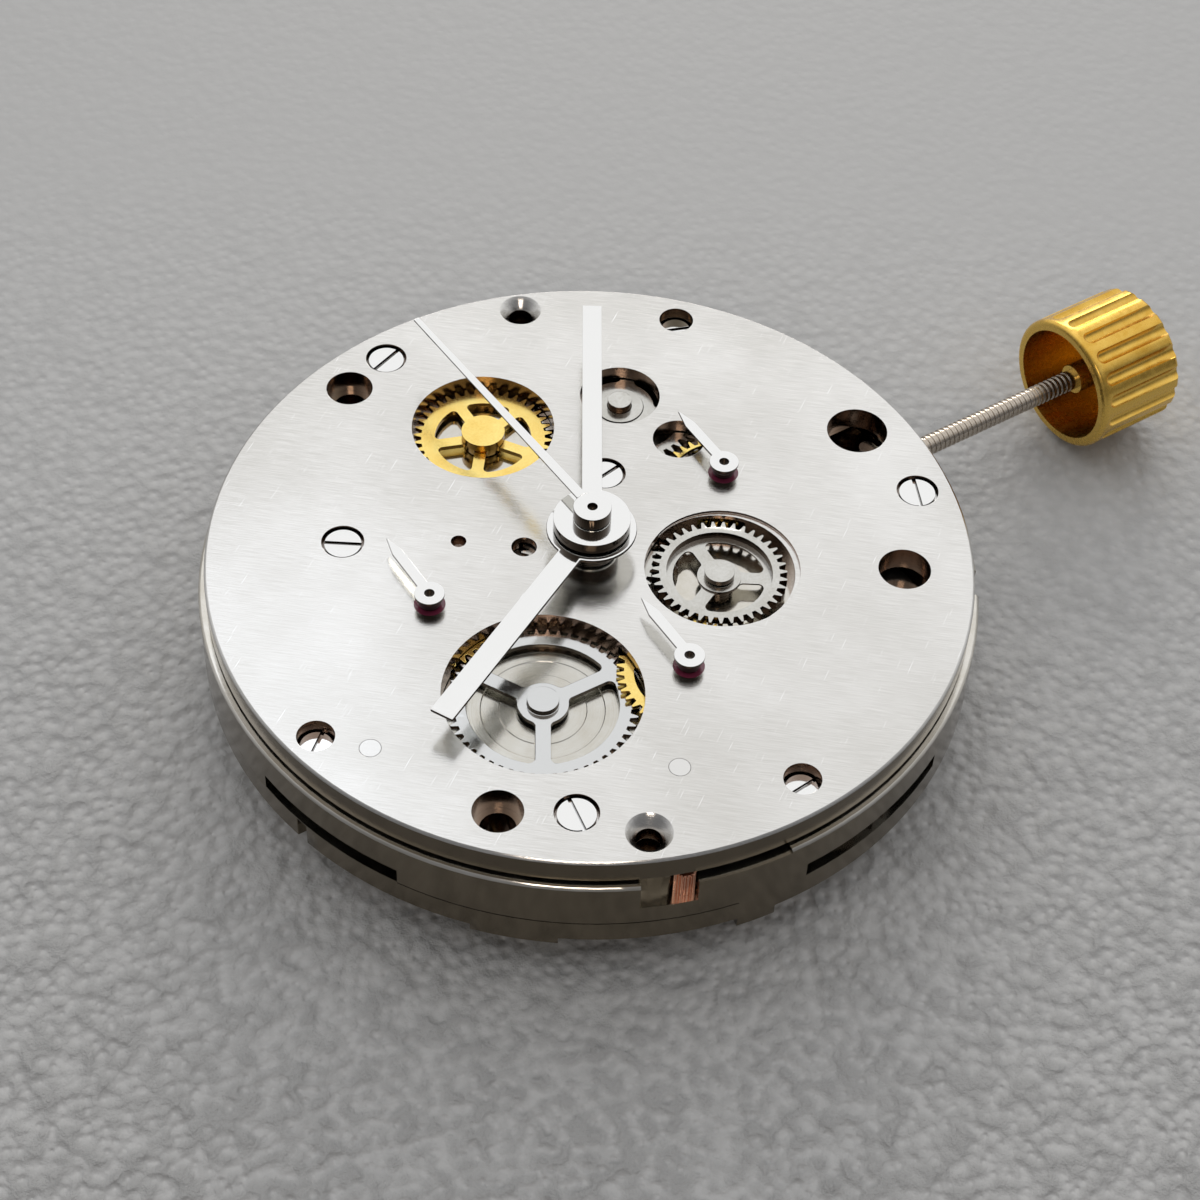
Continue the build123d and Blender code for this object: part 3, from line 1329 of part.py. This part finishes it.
with BuildPart() as lever_posts:
    for at, top in ((operating_post_at, bridge_low), (hammer_post_at, main_plate_low)):
        drum(at, post_radius, post_low, top)
        drum(at, hammer_boss, post_top, top)
lever_posts.part.label = "lever_posts"

# Hands
def hand(length, angle, hub, root_width, tip_width, low, top):
    """Flat hand on the centre axis with a square end."""
    start_left = spot(centre, root_width / 2, angle + 90)
    start_right = spot(centre, root_width / 2, angle - 90)
    tip = spot(centre, length, angle)
    tip_left = spot(tip, tip_width / 2, angle + 90)
    tip_right = spot(tip, tip_width / 2, angle - 90)
    slab((start_left, start_right, tip_right, tip_left), low, top - low)
    drum(centre, hub, low, top)


hour_hand_low = hour_hand_top - hour_hand_thickness
with BuildPart() as hour_hand:
    hand(hour_hand_length, hour_hand_angle, hour_hub_radius, hour_hand_width, hour_hand_width,
         hour_hand_low, hour_hand_top)
    drum(centre, hour_collet_radius, 2 * seat_gap, hour_hand_low)
    drum(centre, hour_pipe_radius, 2 * seat_gap, hour_hand_top, Mode.SUBTRACT)
hour_hand.part.label = "hour_hand"

minute_hand_low = minute_hand_top - minute_hand_thickness
with BuildPart() as minute_hand:
    hand(minute_hand_length, minute_hand_angle, minute_hub_radius, minute_hand_width, minute_hand_width,
         minute_hand_low, minute_hand_top)
    drum(centre, minute_hub_radius, minute_hand_top - minute_hub_thickness, minute_hand_low)
    drum(centre, cannon_radius, minute_hand_top - minute_hub_thickness, minute_hand_top, Mode.SUBTRACT)
minute_hand.part.label = "minute_hand"

with BuildPart() as sweep_hand:
    hand(sweep_hand_length, sweep_hand_angle, sweep_boss_radius, sweep_hand_width, sweep_tip_width,
         sweep_hand_top - sweep_hand_thickness, sweep_hand_top)
    drum(centre, sweep_boss_radius, sweep_boss_low, sweep_boss_top)
    drum(centre, post_radius, sweep_boss_low, sweep_boss_top, Mode.SUBTRACT)
sweep_hand.part.label = "sweep_hand"


def register_hand(at):
    """Small pointed hand on its pipe, pointing to 12 o'clock."""
    low = register_hand_top - register_hand_thickness
    half = register_hand_width / 2
    shoulder = register_hand_length - 2 * register_hand_width
    x, y = at
    slab(((x - half, y), (x + half, y), (x + half, y + shoulder), (x, y + register_hand_length),
          (x - half, y + shoulder)), low, register_hand_thickness)
    drum(at, register_hub_radius, low, register_hand_top)
    with Locations((*at, seat_gap)):
        Cone(register_pipe_radius, register_pipe_radius + register_pipe_flare, low - seat_gap,
             align=(Align.CENTER, Align.CENTER, Align.MIN))
    drum(at, post_radius, seat_gap, register_hand_top, Mode.SUBTRACT)


with BuildPart() as minute_counter_hand:
    register_hand(register_3)
minute_counter_hand.part.label = "minute_counter_hand"

with BuildPart() as small_seconds_hand:
    register_hand(register_9)
small_seconds_hand.part.label = "small_seconds_hand"

with BuildPart() as hour_counter_hand:
    register_hand(register_6)
hour_counter_hand.part.label = "hour_counter_hand"

# One file for each node
os.makedirs("parts", exist_ok=True)
nodes = (
    dial_side_plate, main_plate, barrel_bridge, train_bridge, pallet_bridge, balance_cock,
    chronograph_bridge, jewels, dial_plate_screws, recessed_screws, bridge_screws, steady_pins,
    wheel_studs, lever_posts, hairspring, cannon_pinion, minute_wheel, hour_wheel, carrier_wheel,
    driving_wheel, setting_wheel, transfer_wheel, hour_register_wheel, barrel_drum, barrel_lid,
    mainspring, barrel_arbor, second_wheel, third_wheel, fourth_wheel, fourth_register_wheel,
    escape_wheel, coupling_wheel, coupling_disc, sweep_wheel, pallet_fork, balance_wheel,
    balance_staff, ratchet_wheel, crown_wheel, click, winding_pinion, sliding_pinion, stem, crown,
    yoke, setting_lever, chronograph_runner, minute_counter, minute_register_wheel, hour_counter,
    column_wheel, operating_lever, reset_hammer, hour_hand, minute_hand, sweep_hand,
    minute_counter_hand, small_seconds_hand, hour_counter_hand,
)
for node in nodes:
    export_step(node.part, "parts/" + node.part.label + ".step")
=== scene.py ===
from math import cos, radians, sin

import bmesh
import bpy
from mathutils import Matrix, Vector


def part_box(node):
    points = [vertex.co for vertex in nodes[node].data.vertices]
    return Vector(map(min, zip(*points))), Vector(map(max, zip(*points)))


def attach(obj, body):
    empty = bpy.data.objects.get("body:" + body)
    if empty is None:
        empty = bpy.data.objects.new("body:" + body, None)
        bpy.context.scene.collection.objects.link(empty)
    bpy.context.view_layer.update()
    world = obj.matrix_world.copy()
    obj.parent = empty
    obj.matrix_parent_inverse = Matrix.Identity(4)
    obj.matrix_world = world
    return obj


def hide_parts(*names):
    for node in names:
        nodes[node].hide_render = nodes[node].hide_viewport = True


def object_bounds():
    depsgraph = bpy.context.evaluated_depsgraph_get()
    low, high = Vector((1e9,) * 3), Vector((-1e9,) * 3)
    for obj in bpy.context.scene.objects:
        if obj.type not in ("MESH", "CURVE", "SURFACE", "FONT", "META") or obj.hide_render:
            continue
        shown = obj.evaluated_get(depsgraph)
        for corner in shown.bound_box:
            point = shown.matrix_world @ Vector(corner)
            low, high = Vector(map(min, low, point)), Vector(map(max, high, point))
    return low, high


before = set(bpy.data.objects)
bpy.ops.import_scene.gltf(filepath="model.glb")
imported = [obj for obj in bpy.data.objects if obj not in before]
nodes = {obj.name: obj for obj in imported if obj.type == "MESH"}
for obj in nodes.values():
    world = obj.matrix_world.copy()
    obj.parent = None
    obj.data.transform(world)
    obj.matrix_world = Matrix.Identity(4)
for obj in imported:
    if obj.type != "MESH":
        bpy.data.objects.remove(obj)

# The movement as it is packed: its nodes, and the box round them, whose bottom the floor lies on.
cad_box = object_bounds()
scene = bpy.context.scene
scene.view_settings.view_transform = "Standard"
MM = 0.001

# The camera looks down on the dial side from between 7 and 8 o'clock, close to the movement,
# with the slight roll that the picture has.
camera_at = Vector((-39.5, -58.3, 77.5)) * MM
look_at = Vector((-1.13, -2.46, 0.0)) * MM
camera_roll = radians(2.65)
camera_lens = 78.7
camera_film_width = 36.0
camera_near_limit = 1 * MM
camera_data = bpy.data.cameras.new("camera")
camera_data.lens = camera_lens
camera_data.sensor_width = camera_film_width
camera_data.clip_start = camera_near_limit
camera = bpy.data.objects.new("camera", camera_data)
scene.collection.objects.link(camera)
back = (camera_at - look_at).normalized()
right = Vector((0, 0, 1)).cross(back).normalized()
up = back.cross(right)
turned_right = right * cos(camera_roll) + up * sin(camera_roll)
turned_up = up * cos(camera_roll) - right * sin(camera_roll)
axes = Matrix((turned_right, turned_up, back)).transposed().to_4x4()
camera.matrix_world = Matrix.Translation(camera_at) @ axes
scene.camera = camera


# A grey bench mat of grained artificial leather (PVC, embossed) lies under the movement. It is pale
# and matt, with a pebbled grain of half a millimetre that is smoothed by wear towards the back. The
# valleys of the grain are painted darker as the shade that falls in them.
def linear(hex_colour):
    """Linear colour of an sRGB hex value."""
    values = [int(hex_colour[place:place + 2], 16) / 255 for place in (1, 3, 5)]
    return [v / 12.92 if v <= 0.04045 else ((v + 0.055) / 1.055) ** 2.4 for v in values] + [1.0]


def add(material, kind, inputs=None, **settings):
    """Adds one node, sets its properties, and sets or links its inputs."""
    node = material.node_tree.nodes.new("ShaderNode" + kind)
    for name, value in settings.items():
        setattr(node, name, value)
    for name, value in (inputs or {}).items():
        if isinstance(value, bpy.types.NodeSocket):
            material.node_tree.links.new(value, node.inputs[name])
        else:
            node.inputs[name].default_value = value
    return node


def blank(name):
    """Empty material with its output node, and the object coordinates that its patterns read."""
    material = bpy.data.materials.new(name)
    material.use_nodes = True
    material.node_tree.nodes.clear()
    output = add(material, "OutputMaterial")
    place = add(material, "TexCoord").outputs["Object"]
    return material, output, place


mat_size = 2400 * MM
mat_grain = 0.50 * MM
mat_depth = 0.70 * MM
mat_drift = mat_grain / 0.35
mat_wear_way = (0.56, 0.83, 0.0)
mat_worn_from = -25 * MM
mat_worn_to = 30 * MM
mat_grain_left = 0.08
mat_roughness = 0.58
mat_colour = "#AEAEAD"
mat_valley_shade = "#9A9A99"
mat, output, place = blank("grained_bench_mat")
pebble = add(mat, "TexVoronoi", {"Vector": place, "Scale": 1 / mat_grain}, feature="SMOOTH_F1")
drift = add(mat, "TexNoise", {"Vector": place, "Scale": 1 / mat_drift, "Detail": 6.0, "Roughness": 0.65})
height = add(mat, "Math", {0: pebble.outputs["Distance"], 1: drift.outputs["Fac"]}, operation="MULTIPLY")
across = add(mat, "VectorMath", {0: place, 1: mat_wear_way}, operation="DOT_PRODUCT")
crisp = add(mat, "MapRange", {"Value": across.outputs["Value"], "From Min": mat_worn_from,
                              "From Max": mat_worn_to, "To Min": 1.0, "To Max": mat_grain_left})
mat_bump = add(mat, "Bump", {"Height": height.outputs["Value"], "Strength": crisp.outputs["Result"],
                             "Distance": mat_depth})
# Painted shade: the valleys between the pebbles take the darker valley colour, less so towards the back.
low = add(mat, "MapRange", {"Value": height.outputs["Value"], "From Min": 0.12, "From Max": 0.30})
valley_shade = add(mat, "Math", {0: low.outputs["Result"], 1: crisp.outputs["Result"]}, operation="MULTIPLY")
mat_shade = add(mat, "Mix", {"Factor": valley_shade.outputs["Value"], "A": linear(mat_colour),
                             "B": linear(mat_valley_shade)}, data_type="RGBA")
shader = add(mat, "BsdfPrincipled", {"Base Color": mat_shade.outputs["Result"], "Roughness": mat_roughness,
                                     "Normal": mat_bump.outputs["Normal"]})
mat.node_tree.links.new(shader.outputs["BSDF"], output.inputs["Surface"])
floor_height = cad_box[0][2]
floor_mesh = bmesh.new()
bmesh.ops.create_grid(floor_mesh, x_segments=1, y_segments=1, size=mat_size / 2)
bmesh.ops.translate(floor_mesh, verts=floor_mesh.verts, vec=(0, 0, floor_height))
floor_data = bpy.data.meshes.new("floor")
floor_mesh.to_mesh(floor_data)
floor_mesh.free()
floor_data.materials.append(mat)
floor = bpy.data.objects.new("floor", floor_data)
scene.collection.objects.link(floor)

# A soft studio: the room is bright behind the movement, where the dial side mirrors it, and dim on
# the camera's side. A key lamp low at the back draws the shadows, a card high up gives the glare on
# the left, and a card at the front draws a bright line on each broken edge.
room_strength = 1.03
room_dark = "#78787A"
room_bright = "#FEFEFF"
room_glow_from = Vector((0.40, 0.58, 0.71))
world = bpy.data.worlds.new("room")
scene.world = world
world.use_nodes = True
direction = add(world, "TexCoord").outputs["Generated"]
nearness = add(world, "VectorMath", {0: direction, 1: room_glow_from}, operation="DOT_PRODUCT")
glow = add(world, "MapRange", {"Value": nearness.outputs["Value"], "From Min": -0.10, "From Max": 0.75},
           interpolation_type="SMOOTHSTEP")
room = add(world, "Mix", {"Factor": glow.outputs["Result"], "A": linear(room_dark),
                          "B": linear(room_bright)}, data_type="RGBA")
background = world.node_tree.nodes["Background"]
world.node_tree.links.new(room.outputs["Result"], background.inputs["Color"])
background.inputs["Strength"].default_value = room_strength
# Each lamp has its name, place, width and height in millimetres, power in watts, and colour.
lamps = (
    ("key_softbox", (260, 366, 184), 236, 104, 0.480, "#FFFAF2"),
    ("glare_card", (16, 90, 158), 50, 70, 0.006, "#E6F0FF"),
    ("front_card", (-84, -122, 131), 70, 22, 0.032, "#FFF0E2"),
)
for name, lamp_at, width, height, power, colour in lamps:
    lamp_data = bpy.data.lights.new(name, "AREA")
    lamp_data.shape = "RECTANGLE"
    lamp_data.size = width * MM
    lamp_data.size_y = height * MM
    lamp_data.energy = power
    lamp_data.color = linear(colour)[:3]
    lamp = bpy.data.objects.new(name, lamp_data)
    scene.collection.objects.link(lamp)
    lamp.matrix_world = (Matrix.Translation(Vector(lamp_at) * MM)
                         @ Vector(lamp_at).to_track_quat("Z", "Y").to_matrix().to_4x4())


# The main plate and the bridges are nickel-plated brass, milled flat and turned on the rim. The
# rim shows fine lines that run round it. Upright faces take a painted shade, dark and warm on the
# outside and a lighter copper inside the bores.
merge_gap = 0.001 * MM
flat_limit = radians(0.5)
edge_limit = radians(28)
crisp_limit = radians(20)


def eased(node, width, body):
    """Copy of a CAD piece whose sharp edges are broken by a small bevel, standing for the piece."""
    mesh = bmesh.new()
    mesh.from_mesh(nodes[node].data)
    bmesh.ops.remove_doubles(mesh, verts=mesh.verts, dist=merge_gap)
    bmesh.ops.dissolve_limit(mesh, angle_limit=flat_limit, verts=mesh.verts, edges=mesh.edges)
    sharp = [edge for edge in mesh.edges if edge.is_manifold and edge.calc_face_angle(0) > edge_limit]
    bmesh.ops.bevel(mesh, geom=sharp, offset=width, offset_type="OFFSET", segments=2, profile=0.5,
                    affect="EDGES", clamp_overlap=True, material=-1)
    data = bpy.data.meshes.new(node + "_finish")
    mesh.to_mesh(data)
    mesh.free()
    data.shade_smooth()
    data.set_sharp_from_angle(angle=crisp_limit)
    piece = bpy.data.objects.new(node + "_finish", data)
    scene.collection.objects.link(piece)
    flats = piece.modifiers.new("flats", "WEIGHTED_NORMAL")
    flats.weight = 100
    flats.keep_sharp = True
    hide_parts(node)
    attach(piece, body)
    return piece


def dress(material, *pieces):
    """Gives the material to CAD nodes and to new pieces."""
    for piece in pieces:
        obj = nodes[piece] if isinstance(piece, str) else piece
        for slot in obj.material_slots:
            slot.material = material
        if not obj.material_slots:
            obj.data.materials.append(material)


tone_from, tone_to = 0.75, 1.25
hair_low, hair_high = 0.3, 0.7
smoothest, roughest = 0.7, 1.4
scratch_angle = 35.0
scratch_width = 0.05 * MM
scratch_length = 30.0
scratch_from, scratch_to = 0.70, 0.80
rim_blend = 0.3 * MM


def metal(name, colour, roughness, lines, line_width, depth, tint=None, cloud_size=4 * MM,
          side=None, side_from=0.35, bore=None, rim_radius=None, scratch=None):
    """Metal with a lined surface: lines is the vector along which the fine relief varies, side the
    colour painted on upright faces and broken edges as shade, and side_from the slope where it starts.
    Upright faces nearer the movement's axis than rim_radius, inside the bores, take bore. Light
    scratches in the colour scratch cross the lines."""
    material, output, place = blank(name)
    vector = lines(material, place)
    hair = add(material, "TexNoise", {"Vector": vector, "Scale": 1 / line_width, "Detail": 5.0,
                                      "Roughness": 0.7})
    cloud = add(material, "TexNoise", {"Vector": place, "Scale": 1 / cloud_size, "Detail": 3.0})
    both = add(material, "Math", {0: hair.outputs["Fac"], 1: cloud.outputs["Fac"]})
    blend = add(material, "MapRange", {"Value": both.outputs["Value"], "From Min": tone_from,
                                       "From Max": tone_to})
    tone = add(material, "Mix", {"Factor": blend.outputs["Result"], "A": linear(tint or colour),
                                 "B": linear(colour)}, data_type="RGBA")
    if scratch:
        crossing = add(material, "Mapping", {"Vector": place, "Rotation": (0, 0, radians(scratch_angle)),
                                             "Scale": (scratch_length, 1.0, 1.0)}, vector_type="TEXTURE")
        marks = add(material, "TexNoise", {"Vector": crossing.outputs["Vector"], "Scale": 1 / scratch_width,
                                           "Detail": 1.0})
        light = add(material, "MapRange", {"Value": marks.outputs["Fac"], "From Min": scratch_from,
                                           "From Max": scratch_to})
        tone = add(material, "Mix", {"Factor": light.outputs["Result"], "A": tone.outputs["Result"],
                                     "B": linear(scratch)}, data_type="RGBA")
    # Painted shade: upright faces and broken edges take the side colour, by their slope.
    facing = add(material, "TexCoord").outputs["Normal"]
    lift = add(material, "SeparateXYZ", {"Vector": facing}).outputs["Z"]
    flat = add(material, "Math", {0: lift}, operation="ABSOLUTE")
    level = add(material, "MapRange", {"Value": flat.outputs["Value"], "From Min": side_from,
                                       "From Max": (1 + side_from) / 2})
    edge = linear(side or colour)
    if bore:
        across = add(material, "VectorMath", {0: place, 1: (1.0, 1.0, 0.0)}, operation="MULTIPLY")
        radius = add(material, "VectorMath", {0: across.outputs["Vector"]}, operation="LENGTH")
        outside = add(material, "MapRange", {"Value": radius.outputs["Value"],
                                             "From Min": rim_radius - rim_blend, "From Max": rim_radius})
        edge = add(material, "Mix", {"Factor": outside.outputs["Result"], "A": linear(bore),
                                     "B": edge}, data_type="RGBA").outputs["Result"]
    tone = add(material, "Mix", {"Factor": level.outputs["Result"], "A": edge,
                                 "B": tone.outputs["Result"]}, data_type="RGBA")
    rough = add(material, "MapRange", {"Value": hair.outputs["Fac"], "From Min": hair_low,
                                       "From Max": hair_high, "To Min": roughness * smoothest,
                                       "To Max": roughness * roughest})
    relief = add(material, "Bump", {"Height": hair.outputs["Fac"], "Strength": 1.0, "Distance": depth})
    shader = add(material, "BsdfPrincipled", {"Base Color": tone.outputs["Result"], "Metallic": 1.0,
                                              "Roughness": rough.outputs["Result"],
                                              "Normal": relief.outputs["Normal"]})
    material.node_tree.links.new(shader.outputs["BSDF"], output.inputs["Surface"])
    return material


rim_stretch = 0.05


def round_rim(material, place):
    """Lines that run round the movement, as a lathe leaves them."""
    return add(material, "Mapping", {"Vector": place,
                                     "Scale": (rim_stretch, rim_stretch, 1.0)}).outputs["Vector"]


frame_break = 0.07 * MM
frame_rim_radius = 14.4 * MM
# Painted shade on upright faces: the side colour outside, the bore colour inside the bores.
frame_metal = metal("turned_nickel_plate", "#DEDBD4", 0.12, round_rim, 0.06 * MM, 0.0015 * MM, "#C9C4B8",
                    side="#7A7060", bore="#8C7464", rim_radius=frame_rim_radius)
for name in ("main_plate", "barrel_bridge", "train_bridge", "balance_cock", "chronograph_bridge"):
    dress(frame_metal, eased(name, frame_break, "movement"))
dress(frame_metal, "pallet_bridge")

# The wheels, pinions, springs and levers of the train and the chronograph are hardened steel,
# ground flat. They are bright grey with a fine even grain, and their upright faces are painted
# darker as the shade between the teeth.
def fine_grain(material, place):
    """Even grain with no direction."""
    return place


wheel_break = 0.02 * MM
wheel_steel = metal("ground_steel", "#D0CFCA", 0.18, fine_grain, 0.10 * MM, 0.0015 * MM, "#BFBDB6", 1 * MM,
                    side="#5E5247")
dress(wheel_steel, "sweep_wheel", "driving_wheel", "setting_wheel", "cannon_pinion", "ratchet_wheel",
      "crown_wheel", "click", "winding_pinion", "sliding_pinion", "yoke", "setting_lever",
      "chronograph_runner", "minute_counter", "hour_counter", "column_wheel", "operating_lever",
      "reset_hammer", "fourth_wheel", "escape_wheel", "pallet_fork", "balance_staff", "mainspring",
      "hairspring", "minute_wheel", "hour_wheel", "lever_posts", "barrel_drum")
dress(wheel_steel, eased("barrel_arbor", wheel_break, "ratchet"))
dress(wheel_steel, eased("wheel_studs", wheel_break, "movement"))

# The wheel at 4 o'clock is the same steel, thick and with a raised rim round a dished middle with
# three arms. It rides on the stud that stands in its middle.
dress(wheel_steel, eased("transfer_wheel", wheel_break, "transfer"))

# Under the window at 7 o'clock, a steel disc is turned in fine rings, which throw cones of light
# from its middle. A thin wheel of polished steel on three arms lies over it.
def rings_about(centre):
    """Lines that run in rings about an upright axis."""
    def lines(material, place):
        moved = add(material, "VectorMath", {0: place, 1: centre}, operation="SUBTRACT")
        flat = add(material, "VectorMath", {0: moved.outputs["Vector"], 1: (1.0, 1.0, 0.0)},
                   operation="MULTIPLY")
        length = add(material, "VectorMath", {0: flat.outputs["Vector"]}, operation="LENGTH")
        return add(material, "CombineXYZ", {"X": length.outputs["Value"]}).outputs["Vector"]
    return lines


low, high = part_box("coupling_disc")
disc_centre = (Vector(low) + Vector(high)) / 2
# The disc and the wheel take a painted shade on their upright faces in the side colour, as the other steel
# does.
disc_steel = metal("ring_turned_steel", "#CFCDC6", 0.16, rings_about(disc_centre), 0.05 * MM, 0.004 * MM,
                   "#C2BEB3", 1 * MM, side="#6E665B")
dress(disc_steel, eased("coupling_disc", wheel_break, "coupling"))
coupling_steel = metal("polished_arm_steel", "#D3D4D3", 0.12, fine_grain, 0.15 * MM, 0.001 * MM,
                       side="#5F574D")
dress(coupling_steel, eased("coupling_wheel", wheel_break, "coupling"))

# The gilt wheels are brass under a thin layer of gold. They are bright yellow with a soft grain on
# the flats, and their upright faces are painted brown as the shade between the teeth.
wheel_gilt = metal("gilt_brass", "#FDE48E", 0.18, fine_grain, 0.08 * MM, 0.0015 * MM, "#F3CF72", 1 * MM,
                   side="#8E6E30")
dress(wheel_gilt, "second_wheel", "third_wheel", "barrel_lid", "balance_wheel")
dress(wheel_gilt, eased("carrier_wheel", wheel_break, "carrier"))
dress(wheel_gilt, eased("hour_register_wheel", wheel_break, "hour_register"))
dress(wheel_gilt, eased("minute_register_wheel", wheel_break, "minute_count"))
dress(wheel_gilt, eased("fourth_register_wheel", wheel_break, "fourth"))


# The dial-side plate is nickel-plated brass, brushed straight with a fine wheel and left bare. The
# brushing shows as straight hair lines with a few cross scratches. The lines are drawn coarser than
# the real ones, which are too fine to show.
brush_angle = -41.0
brush_length = 28.0


def straight(material, place):
    """Straight hair lines along the brushing."""
    return add(material, "Mapping", {"Vector": place, "Rotation": (0, 0, radians(brush_angle)),
                                     "Scale": (brush_length, 1.0, 1.0)},
               vector_type="TEXTURE").outputs["Vector"]


plate_break = 0.055 * MM
plate_rim_radius = 14.6 * MM
# Its upright faces take a painted shade: dark and warm on the rim, a lighter copper inside the bores.
plate_metal = metal("brushed_nickel_plate", "#E4E3E0", 0.16, straight, 0.045 * MM, 0.0030 * MM, "#CDCBC6",
                    9 * MM, side="#6E6455", bore="#8E7767", rim_radius=plate_rim_radius,
                    scratch="#F2F2F1")
dress(plate_metal, eased("dial_side_plate", plate_break, "movement"))

# Two steel pins hold the plate in line. They are ground flush with it and brushed in one pass, and
# a fine dark ring is painted on each pin's broken edge as the shade in the groove where it is pressed in.
pin_break = 0.077 * MM
pin_metal = metal("brushed_pin_steel", "#DCDBD8", 0.18, straight, 0.045 * MM, 0.0025 * MM,
                  side="#2E2922", side_from=0.93)
pins = eased("steady_pins", pin_break, "movement")
dress(pin_metal, pins)

# A serrated stud of copper-red bronze stands in the notch of the rim, pressed into the main plate.
# It shares the pins' mesh, so the faces well below the dial side take the bronze. The pins' own
# faces there are hidden in the plates.
stud_below = -1.15 * MM
stud_bronze = metal("serrated_bronze", "#D9A48A", 0.18, fine_grain, 0.05 * MM, 0.002 * MM, "#B98068",
                    1 * MM)
pins.data.materials.append(stud_bronze)
for face in pins.data.polygons:
    if face.center.z < stud_below:
        face.material_index = 1

# The screws are hardened steel, polished flat. Their broken edges and upright faces are painted dark
# as shade, so they read as dark outlines. They mirror the room, and only a trace of smear keeps the
# mirror from being perfect.
screw_break = 0.03 * MM
polished_steel = metal("polished_steel", "#EDEDEB", 0.08, fine_grain, 0.8 * MM, 0.002 * MM, side="#40362C",
                       side_from=0.80)
for name in ("dial_plate_screws", "recessed_screws", "bridge_screws"):
    dress(polished_steel, eased(name, screw_break, "movement"))

# The jewels are synthetic ruby, polished and pressed into the plate and the bridges. The stone is
# painted dark purple as the shade of the hands that falls on it, and its high index of refraction
# makes it glint.
ruby_light = "#7E3048"
ruby_deep = "#45182A"
ruby_cloud = 0.8 * MM
ruby_roughness = 0.05
ruby_index = 1.77
ruby, output, place = blank("synthetic_ruby")
depth = add(ruby, "TexNoise", {"Vector": place, "Scale": 1 / ruby_cloud})
tint = add(ruby, "Mix", {"Factor": depth.outputs["Fac"], "A": linear(ruby_light), "B": linear(ruby_deep)},
           data_type="RGBA")
shader = add(ruby, "BsdfPrincipled", {"Base Color": tint.outputs["Result"], "Roughness": ruby_roughness,
                                      "IOR": ruby_index})
ruby.node_tree.links.new(shader.outputs["BSDF"], output.inputs["Surface"])
dress(ruby, "jewels")

# The hands are flat batons of the same polished steel with bevelled edges, pressed on their pipes,
# and their bevels and upright faces take the same painted dark shade. The three centre hands share
# one axis, and each register hand has its own.
hand_break = 0.07 * MM
for name, body in (("hour_hand", "hour"), ("minute_hand", "cannon"), ("sweep_hand", "runner"),
                   ("minute_counter_hand", "minute_count"), ("small_seconds_hand", "fourth"),
                   ("hour_counter_hand", "hour_count")):
    dress(polished_steel, eased(name, hand_break, body))

# The crown is turned brass with milled flutes, left bare, so that it is warm gold with a satin
# grain. The stem is blank steel with a fine rolled thread, and the crown screws on to its end.
crown_break = 0.08 * MM
crown_brass = metal("turned_brass", "#E6BE60", 0.26, fine_grain, 0.3 * MM, 0.003 * MM, "#D2A444", 1 * MM)
dress(crown_brass, eased("crown", crown_break, "winding_stem"))
stem_break = 0.02 * MM
stem_steel = metal("threaded_steel", "#BDB3A6", 0.22, fine_grain, 0.2 * MM, 0.002 * MM)
dress(stem_steel, eased("stem", stem_break, "winding_stem"))
